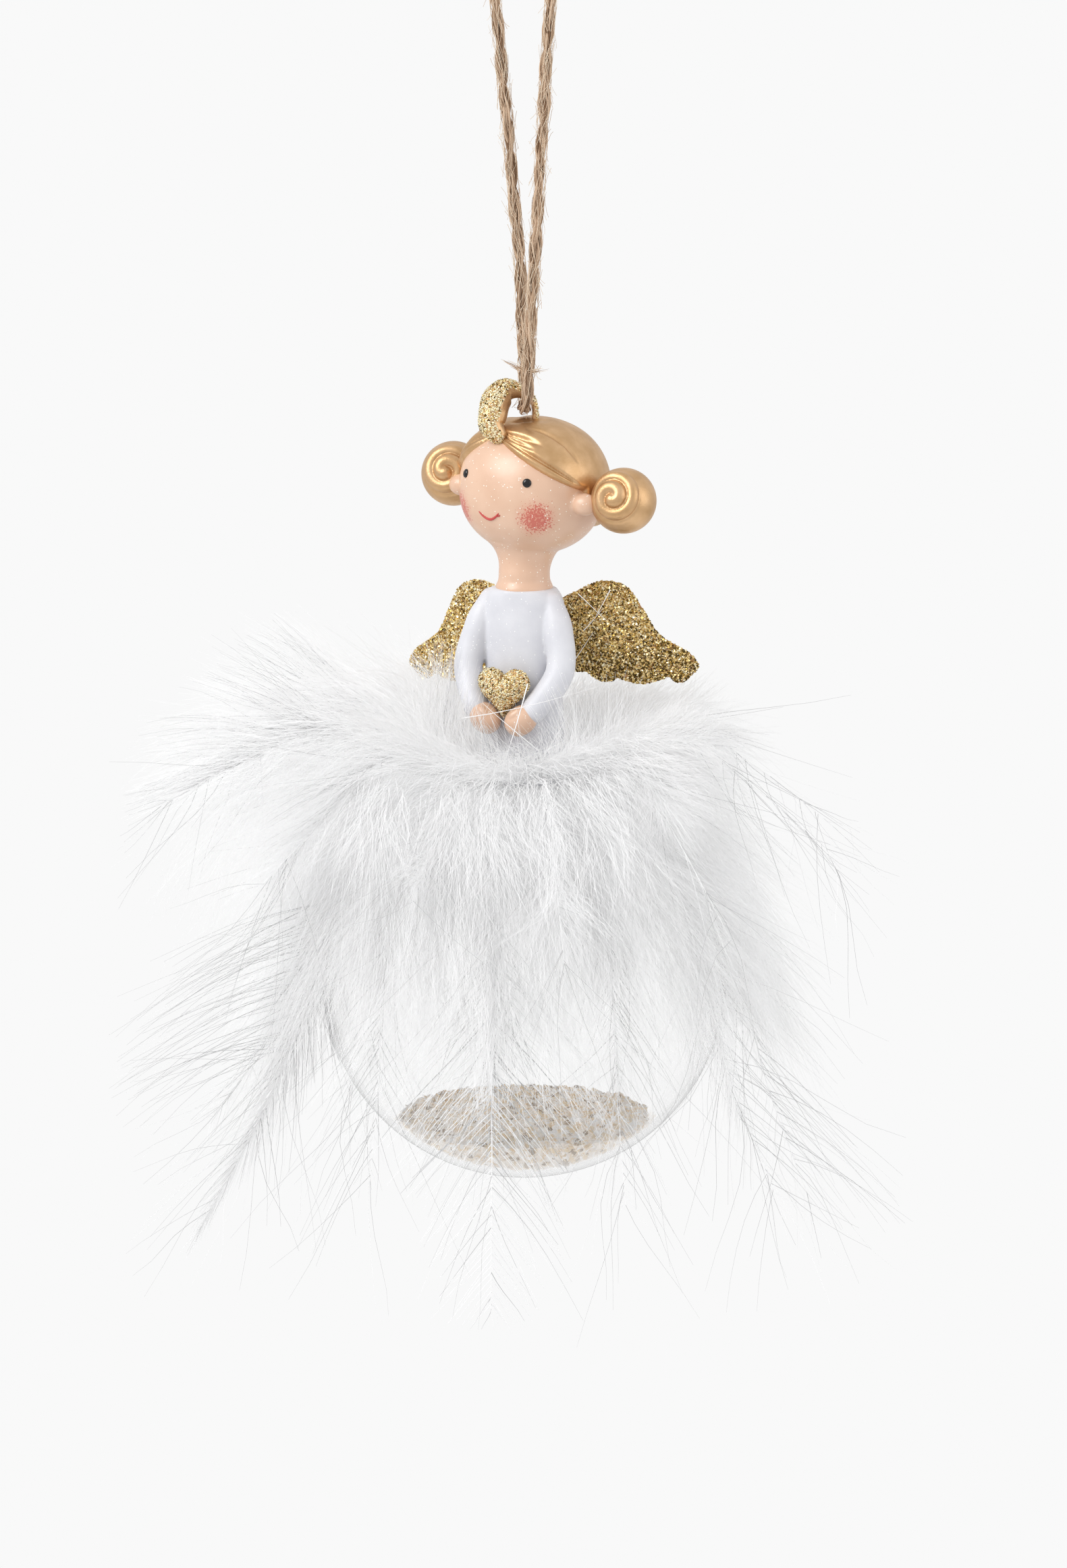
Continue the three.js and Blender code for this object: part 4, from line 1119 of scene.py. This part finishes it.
# Wisps that stand out of the mass: feather, share of the quill, roll round it, angle off it, length, barbs
WISPS = ((9, 0.46, 1.6, 0.95, 22, 150), (9, 0.56, 1.5, 0.65, 18, 120), (9, 0.7, 1.5, 0.4, 14, 90),
         (8, 0.5, 1.5, 0.95, 21, 150), (8, 0.42, 1.4, 0.8, 18, 120), (10, 0.5, 1.3, 0.6, 15, 80),
         (2, 0.36, 1.2, 0.5, 11, 80), (0, 0.06, 1.4, 1.2, 9, 80), (10, 0.1, 1.2, 1.1, 12, 80),
         (1, 0.1, 1.8, 1.1, 11, 80), (2, 0.1, 1.8, 1.15, 14, 90), (9, 0.1, 1.2, 1.15, 14, 90))
# Barbs that lie across the heart, the hands and a wing: feather, and both ends to the right, back and up
# from the crown as the camera sees it
CROSSING = ((1, (-9, -13, 10.9), (11.5, -13, 14.2)), (0, (0.5, -13, 16), (-3.4, -13, 1)),
            (1, (2, -12, 6), (-6, -12.5, 12.5)), (1, (1.5, -12.5, 3), (7.5, -10, 12)),
            (2, (7.9, 1.5, 26.9), (12.1, 0.3, 22.8)), (2, (12.6, 0.1, 27.7), (10.5, 0.7, 23.6)),
            (2, (8.7, 1.2, 21.5), (11.5, 0.5, 24.6)), (2, (6.9, 1.6, 16.3), (10, 0.8, 21)))
# Single barbs that open like a fan: feather, shares of the quill, roll round it, angle off it, length,
# count
FANS = ((9, 0.32, 0.64, 1.3, 1.2, 33, 70), (9, 0.55, 0.86, 1.3, 0.7, 17, 24),
        (9, 0.4, 0.8, -1.8, 0.5, 15, 20), (8, 0.3, 0.65, 1.3, 1, 21, 30), (10, 0.4, 0.95, 2.8, 0.6, 15, 22),
        (0, 0.4, 0.8, 0.2, 0.75, 17, 18), (0, 0.4, 0.8, 2.9, 0.75, 17, 18), (1, 0.4, 0.95, 0.3, 0.6, 16, 22),
        (2, 0.4, 0.9, 1.2, 0.6, 18, 16), (3, 0.4, 0.9, 1.4, 0.7, 19, 16))
# The bright and shade finishes paint light and shade on single barbs, and the dark loose one paints the shade
# of thin backlit barbs
feather_finishes = [finish(f"feather {name}", (shade, shade, shade + 0.004), 0.9, Specular_IOR_Level=0.15,
                           Emission_Color=(1, 1, 1, 1), Emission_Strength=glow)
                    for name, shade, glow in (("white", 0.96, DOWN_GLOW), ("bright", 0.98, DOWN_GLOW),
                                              ("shade", 0.95, 0.75 * DOWN_GLOW), ("loose", 0.6, 0))]
looking_at = Matrix.Rotation(LOOK_TURN, 3, "Z")
skirt_low = cad_box[0] - Vector((1, 1, 0.2)) * STRAY_ROOM
skirt_high = cad_box[1] + Vector((1, 1, 0)) * STRAY_ROOM


def on_ball(angle, lay):
    """Place on the ball at an angle from its crown, as (distance from the axis, height over the crown)"""
    radius = BALL_RADIUS + lay
    return Vector((radius * math.sin(angle), radius * math.cos(angle) - BALL_RADIUS, 0))


feather_root = on_ball(math.asin(ROOT_REACH / (BALL_RADIUS + ROOT_LAY)), ROOT_LAY)


def draped_outline(reach, drop):
    tip = BALL_RADIUS + reach
    over_ball = [on_ball(math.radians(angle), DRAPE_LAY) for angle in (34, 57, 80)]
    side = over_ball[-1]
    free = Vector((side.x + 0.4 * (tip - side.x), side.y - 0.5 * (drop + side.y), 0))
    return [feather_root, *over_ball, free, Vector((tip, -drop, 0))]


def flared_outline(reach, drop, lift):
    tip = BALL_RADIUS + reach
    return [feather_root, Vector((14.9 * MM, 0.55 * lift, 0)), Vector((24 * MM, lift, 0)),
            Vector((0.74 * tip, lift - 0.42 * (lift + drop), 0)), Vector((tip, -drop, 0))]


def clear_of_body(point, room):
    """The point, moved out of the ball and out of the dress if it is in them"""
    from_ball = point - ball_middle
    if from_ball.length < BALL_RADIUS + room:
        point = ball_middle + from_ball.normalized() * (BALL_RADIUS + room)
    if DRESS_FOOT < point.z - crown.z < DRESS_CLEAR:
        wide = Vector((point.x / (HEM_WIDTH / 2 + room), point.y / (HEM_DEPTH / 2 + room), 0))
        if wide.length < 1:
            scale = 1 / max(wide.length, 0.05)
            point = Vector((point.x * scale, point.y * scale, point.z))
    return point


def in_skirt(point):
    aside = (looking_at.transposed() @ point).x
    return (all(low < value < high for low, value, high in zip(skirt_low, point, skirt_high))
            and -SKIRT_SPREAD < aside < SKIRT_SPREAD)


class Layer:
    """The run of one layer of feathers all round the ball, even between the quills"""

    def __init__(self, rows, outline, first_turn):
        self.first_turn = first_turn
        self.lines = []
        for i in range(PER_LAYER * LINES_PER_SECTOR):
            number, between = divmod(i, LINES_PER_SECTOR)
            between = 0.5 - 0.5 * math.cos(math.pi * between / LINES_PER_SECTOR)
            row = Vector(rows[number]).lerp(Vector(rows[(number + 1) % PER_LAYER]), between)
            self.lines.append(even_line(smooth_line(outline(*(row * MM)), 10), RUN_STEPS))

    def at(self, turn, share, rise=0.0):
        """Place at a turn in sectors, a share of the run and a rise off it, with the directions along the
        run, round the ball and off the layer"""
        column = (turn % PER_LAYER) * LINES_PER_SECTOR
        last = RUN_STEPS - 1
        index = max(0, min(last - 0.001, share * last))
        left, low = int(column), int(index)
        beside = [self.lines[i % len(self.lines)] for i in (left, left + 1)]
        ends = [line[low + i].lerp(line[low + i + 1], index - low) for i in (0, 1) for line in beside]
        here = ends[0].lerp(ends[1], column - left)
        run = (ends[2].lerp(ends[3], column - left) - here).normalized()
        azimuth = (turn + self.first_turn) * SECTOR
        outward = direction(azimuth, 0)
        across = Vector((math.cos(azimuth), math.sin(azimuth), 0))
        off = -run.y * outward + run.x * UP
        place = crown + here.x * outward + here.y * UP + rise * off
        return place, run.x * outward + run.y * UP, across, off


class Feather:
    """The barbs of one feather of a layer"""

    def __init__(self, layer, number, dice):
        self.layer = layer
        self.number = number
        self.dice = dice
        self.rods = []

    def barb(self, start, way, length, bend, room, shades=DOWN_SHADES, thick=1, drift=0.45, lead=None,
             gather=0.0):
        """One barb from start. bend is how far it bends off its way, room how far it keeps off the ball and
        drift how far it swerves with its neighbours. It may gather towards the run of another barb."""
        dice = self.dice
        way = way.normalized()
        swerve = noise.noise_vector((start + 0.8 * length * way) / WISP_SIZE)
        bend = bend + drift * (swerve + 0.14 * scatter(dice))
        wave = 0.07 * drift * scatter(dice)
        while not in_skirt(start + length * (way + bend)) and length > 3 * MM:
            length *= 0.85
        points = []
        for i in range(BARB_STEPS + 1):
            t = i / BARB_STEPS
            point = start + length * (t * way + t * t * bend + math.sin(5 * t) * wave)
            if lead:
                point = point.lerp(lead[i], gather * t)
            points.append(clear_of_body(point, room))
        thick = BARB_RADIUS * thick * dice.uniform(0.75, 1.25)
        radii = [thick * (1 - 0.7 * i / BARB_STEPS) for i in range(BARB_STEPS + 1)]
        self.rods.append((points, radii, dice.choices(range(4), shades)[0]))
        return points

    def down(self, count, first, last, rises, lifts, lengths, sags):
        """Soft barbs spread evenly over the feather's sector, so that they mingle with those of its
        neighbours"""
        dice = self.dice
        for _ in range(count):
            share = dice.uniform(first, last)
            rise = dice.uniform(*rises) * min(1, 0.5 + 1.5 * share)
            start, run, across, off = self.layer.at(self.number + dice.uniform(-0.6, 0.6), share, rise)
            aside = 1.1 * noise.noise(start / SWIRL_SIZE) + dice.gauss(0, 0.3)
            self.barb(start, run + aside * across + dice.uniform(*lifts) * off, dice.uniform(*lengths) * MM,
                      -dice.uniform(*sags) * UP, dice.uniform(0.3, 4) * MM)

    def off_quill(self, share, roll, spread, length, bend, room, **look):
        """A barb that grows from the quill. roll is the side of the quill, with 0 and pi in the vane and pi/2
        above it, and spread the angle off the quill."""
        start, run, across, off = self.layer.at(self.number, share)
        side = math.cos(roll) * across + math.sin(roll) * off
        way = math.cos(spread) * run + math.sin(spread) * side
        return self.barb(start, way, length, bend * run, room, **look)

    def wisp(self, share, roll, spread, length, count, shades):
        """Barbs that cling together to a point"""
        dice = self.dice
        lead = self.off_quill(share, roll, spread, length, 0.1, 1 * MM)
        for _ in range(count):
            self.off_quill(share + dice.gauss(0, 0.05), roll + dice.gauss(0, 0.45),
                           spread + dice.gauss(0, 0.2), length * dice.uniform(0.6, 1), 0.1, 1 * MM,
                           shades=shades, lead=lead, gather=dice.uniform(0.25, 0.8))

    def rows(self, first, spacing, length, opening, closing, twist, thick):
        """The barbs along both sides of the quill from first to the tip"""
        dice = self.dice
        count = round(70 * MM * (1 - first) / spacing)
        for roll in (0, math.pi):
            for i in range(count):
                far = i / count
                self.off_quill(first + (1 - first) * far, roll + twist + dice.gauss(0, 0.15),
                               opening + (closing - opening) * far + dice.gauss(0, 0.05),
                               length * (1 - 0.72 * far) * dice.uniform(0.75, 1.1), 0.1, 0.3 * MM,
                               shades=ROW_SHADES, thick=thick * (1.55 - 0.7 * far), drift=0.16)

    def fan(self, first, last, roll, spread, length, count):
        """Single barbs side by side"""
        dice = self.dice
        for i in range(count):
            self.off_quill(first + (last - first) * (i + dice.uniform(-0.4, 0.4)) / count,
                           roll + dice.gauss(0, 0.2), spread + dice.gauss(0, 0.1),
                           length * MM * dice.uniform(0.7, 1.1), 0.32, 0.6 * MM, shades=STRAY_SHADES,
                           thick=1.4, drift=0.2)

    def strays(self, count, first, rolls, lengths):
        """Single barbs in all directions within the rolls"""
        dice = self.dice
        for _ in range(count):
            self.off_quill(dice.uniform(first, 1), dice.uniform(*rolls), dice.uniform(0.2, 1.1),
                           dice.uniform(*lengths) * MM, 0.1, 0.8 * MM, shades=STRAY_SHADES, thick=1.3,
                           drift=0.35)

    def mesh(self, quill_radius):
        line = [self.layer.at(self.number, i / QUILL_STEPS)[0] for i in range(QUILL_STEPS + 1)]
        radii = [quill_radius * (1 - 0.86 * i / QUILL_STEPS) for i in range(QUILL_STEPS + 1)]
        whole = bmesh.new()
        for mesh in (rods_mesh(self.rods, feather_finishes, section=barb_section),
                     rods_mesh([(line, radii, 2)], feather_finishes, 1)):
            whole.from_mesh(mesh)
            bpy.data.meshes.remove(mesh)
        return body_mesh(whole, feather_finishes)


section_curve = bpy.data.curves.new("barb section", "CURVE")
corners = section_curve.splines.new("POLY")
corners.points.add(2)
corners.points.foreach_set("co", [value for i in range(3) for value in
                                  (math.cos(i * math.tau / 3), math.sin(i * math.tau / 3), 0, 1)])
corners.use_cyclic_u = True
barb_section = bpy.data.objects.new("barb section", section_curve)
bpy.context.scene.collection.objects.link(barb_section)
draped_layer = Layer([row[:2] for row in DRAPED], draped_outline, 0.5)
flared_layer = Layer([row[:3] for row in FLARED], flared_outline, 0)

for number, (*_, spacing, length, opening, closing, twist, thick) in enumerate(DRAPED):
    dice = random.Random(100 + number)
    feather = Feather(draped_layer, number, dice)
    feather.down(1450, 0.02, 0.5, rises=(0.2 * MM, 4.5 * MM), lifts=(0, 0.5), lengths=(10, 19),
                 sags=(0.05, 0.4))
    feather.rows(0.36, spacing * MM, length * MM, opening, closing, twist, thick)
    for _ in range(9):
        feather.wisp(dice.uniform(0.25, 0.52), dice.uniform(0, math.pi), dice.uniform(0.15, 0.6),
                     dice.uniform(12, 19) * MM, 24, WISP_SHADES)
    for at, *shape in FANS:
        if at == number:
            feather.fan(*shape)
    feather.strays(26, 0.3, rolls=(0, math.tau), lengths=(18, 30))
    set_piece(f"draped_feather_{number + 1:02d}", feather.mesh(DRAPED_QUILL), "ornament", "white_feather",
              f"feather_low_{number + 1:02d}")

for number, (*_, height, full, tuft) in enumerate(FLARED):
    dice = random.Random(200 + number)
    feather = Feather(flared_layer, number, dice)
    reach = 0.55 + 0.6 * full
    feather.down(850, 0.0, full, rises=(0, height * MM), lifts=(0, min(0.7, 0.14 * height)),
                 lengths=(9 * reach, 16 * reach), sags=(0, 0.3))
    feather.down(700, 0.1, full, rises=(-8 * MM, 0), lifts=(-0.7, 0), lengths=(10 * reach, 19 * reach),
                 sags=(0.2, 0.6))
    feather.down(190, 0, 0.24, rises=(0, 2 * MM), lifts=(0.7, 2.4), lengths=(0.5 * tuft, tuft),
                 sags=(0, 0.15))
    for at, *shape, length, count in WISPS:
        if at == number:
            feather.wisp(*shape, length * MM, count, TALL_WISP_SHADES)
    for _ in range(14):
        feather.wisp(dice.uniform(0.3, full + 0.08), dice.uniform(0, math.tau), dice.uniform(0.3, 0.9),
                     reach * dice.uniform(9, 15) * MM, 26, WISP_SHADES)
    for at, start, stop in CROSSING:
        if at == number:
            start, stop = (crown + looking_at @ Vector(place) * MM for place in (start, stop))
            feather.barb(start, stop - start, (stop - start).length, 0.06 * UP, 0.5 * MM, CROSSING_SHADES,
                         thick=2.9, drift=0.05)
    feather.strays(26, 0.3, rolls=(0.9 * math.pi, 2.1 * math.pi), lengths=(16, 28))
    set_piece(f"flared_feather_{number + 1:02d}", feather.mesh(FLARED_QUILL), "ornament", "white_feather",
              f"feather_top_{number + 1:02d}")

bpy.data.objects.remove(barb_section)
bpy.data.curves.remove(section_curve)

# Studio: a pale backdrop all round, a large soft lamp at the upper left and a weak one at the right. The
# ornament hangs free, so the floor lies well below it and only takes a faint shadow.
FLOOR_DROP = 0.45
FLOOR_RADIUS = 0.6
FLOOR_PALING = 0.6
BACKDROP = 0.947
DOME_LOW, DOME_HIGH = 0.69, 0.82
LAMP_DISTANCE = 0.9


def soft_lamp(name, azimuth, elevation, size, power):
    lamp = bpy.data.lights.new(name, "AREA")
    lamp.shape = "DISK"
    lamp.size = size
    lamp.energy = power
    holder = bpy.data.objects.new(name, lamp)
    way = direction(math.radians(azimuth), math.radians(elevation))
    turn = way.to_track_quat("Z", "Y").to_matrix().to_4x4()
    holder.matrix_world = Matrix.Translation(ball_middle + LAMP_DISTANCE * way) @ turn
    bpy.context.scene.collection.objects.link(holder)


def studio_world():
    """An even backdrop to the camera and through the glass, and a dome of light that is brighter above"""
    world = bpy.data.worlds.new("studio")
    world.use_nodes = True
    tree = world.node_tree
    rays = add_node(tree, "LightPath").outputs
    seen = add_node(tree, "Math", (0, rays["Is Camera Ray"]), (1, rays["Is Transmission Ray"]),
                    operation="MAXIMUM").outputs[0]
    place = add_node(tree, "TexCoord").outputs["Generated"]
    height = add_node(tree, "SeparateXYZ", (0, place)).outputs["Z"]
    dome = add_node(tree, "MapRange", ("Value", height), ("From Min", -0.6), ("From Max", 0.8),
                    ("To Min", DOME_LOW), ("To Max", DOME_HIGH)).outputs["Result"]
    level = add_node(tree, "Mix", ("Factor", seen), ("A", dome), ("B", BACKDROP), data_type="FLOAT")
    background = tree.nodes["Background"]
    background.inputs["Color"].default_value = (*WHITE, 1)
    tree.links.new(level.outputs["Result"], background.inputs["Strength"])
    bpy.context.scene.world = world


def floor_paint():
    """A pale floor that fades into the backdrop"""
    material = finish("pale floor", (0.9, 0.9, 0.9), 0.9)
    tree = material.node_tree
    camera_ray = add_node(tree, "LightPath").outputs["Is Camera Ray"]
    share = add_node(tree, "Math", (0, camera_ray), (1, FLOOR_PALING), operation="MULTIPLY").outputs[0]
    glow = add_node(tree, "Emission", ("Strength", BACKDROP)).outputs[0]
    paint = tree.nodes["Principled BSDF"].outputs[0]
    mix = add_node(tree, "MixShader", (0, share), (1, paint), (2, glow))
    tree.links.new(mix.outputs[0], tree.nodes["Material Output"].inputs["Surface"])
    return material


floor_disc = bmesh.new()
bmesh.ops.create_circle(floor_disc, cap_ends=True, segments=96, radius=FLOOR_RADIUS,
                        matrix=Matrix.Translation((0, 0, -FLOOR_DROP)))
floor = bpy.data.objects.new("floor", body_mesh(floor_disc, [floor_paint()]))
bpy.context.scene.collection.objects.link(floor)
soft_lamp("key", -35, 40, 0.6, 4.2)
soft_lamp("fill", 95, 18, 0.8, 1.6)
studio_world()
bpy.context.scene.view_settings.view_transform = "Standard"
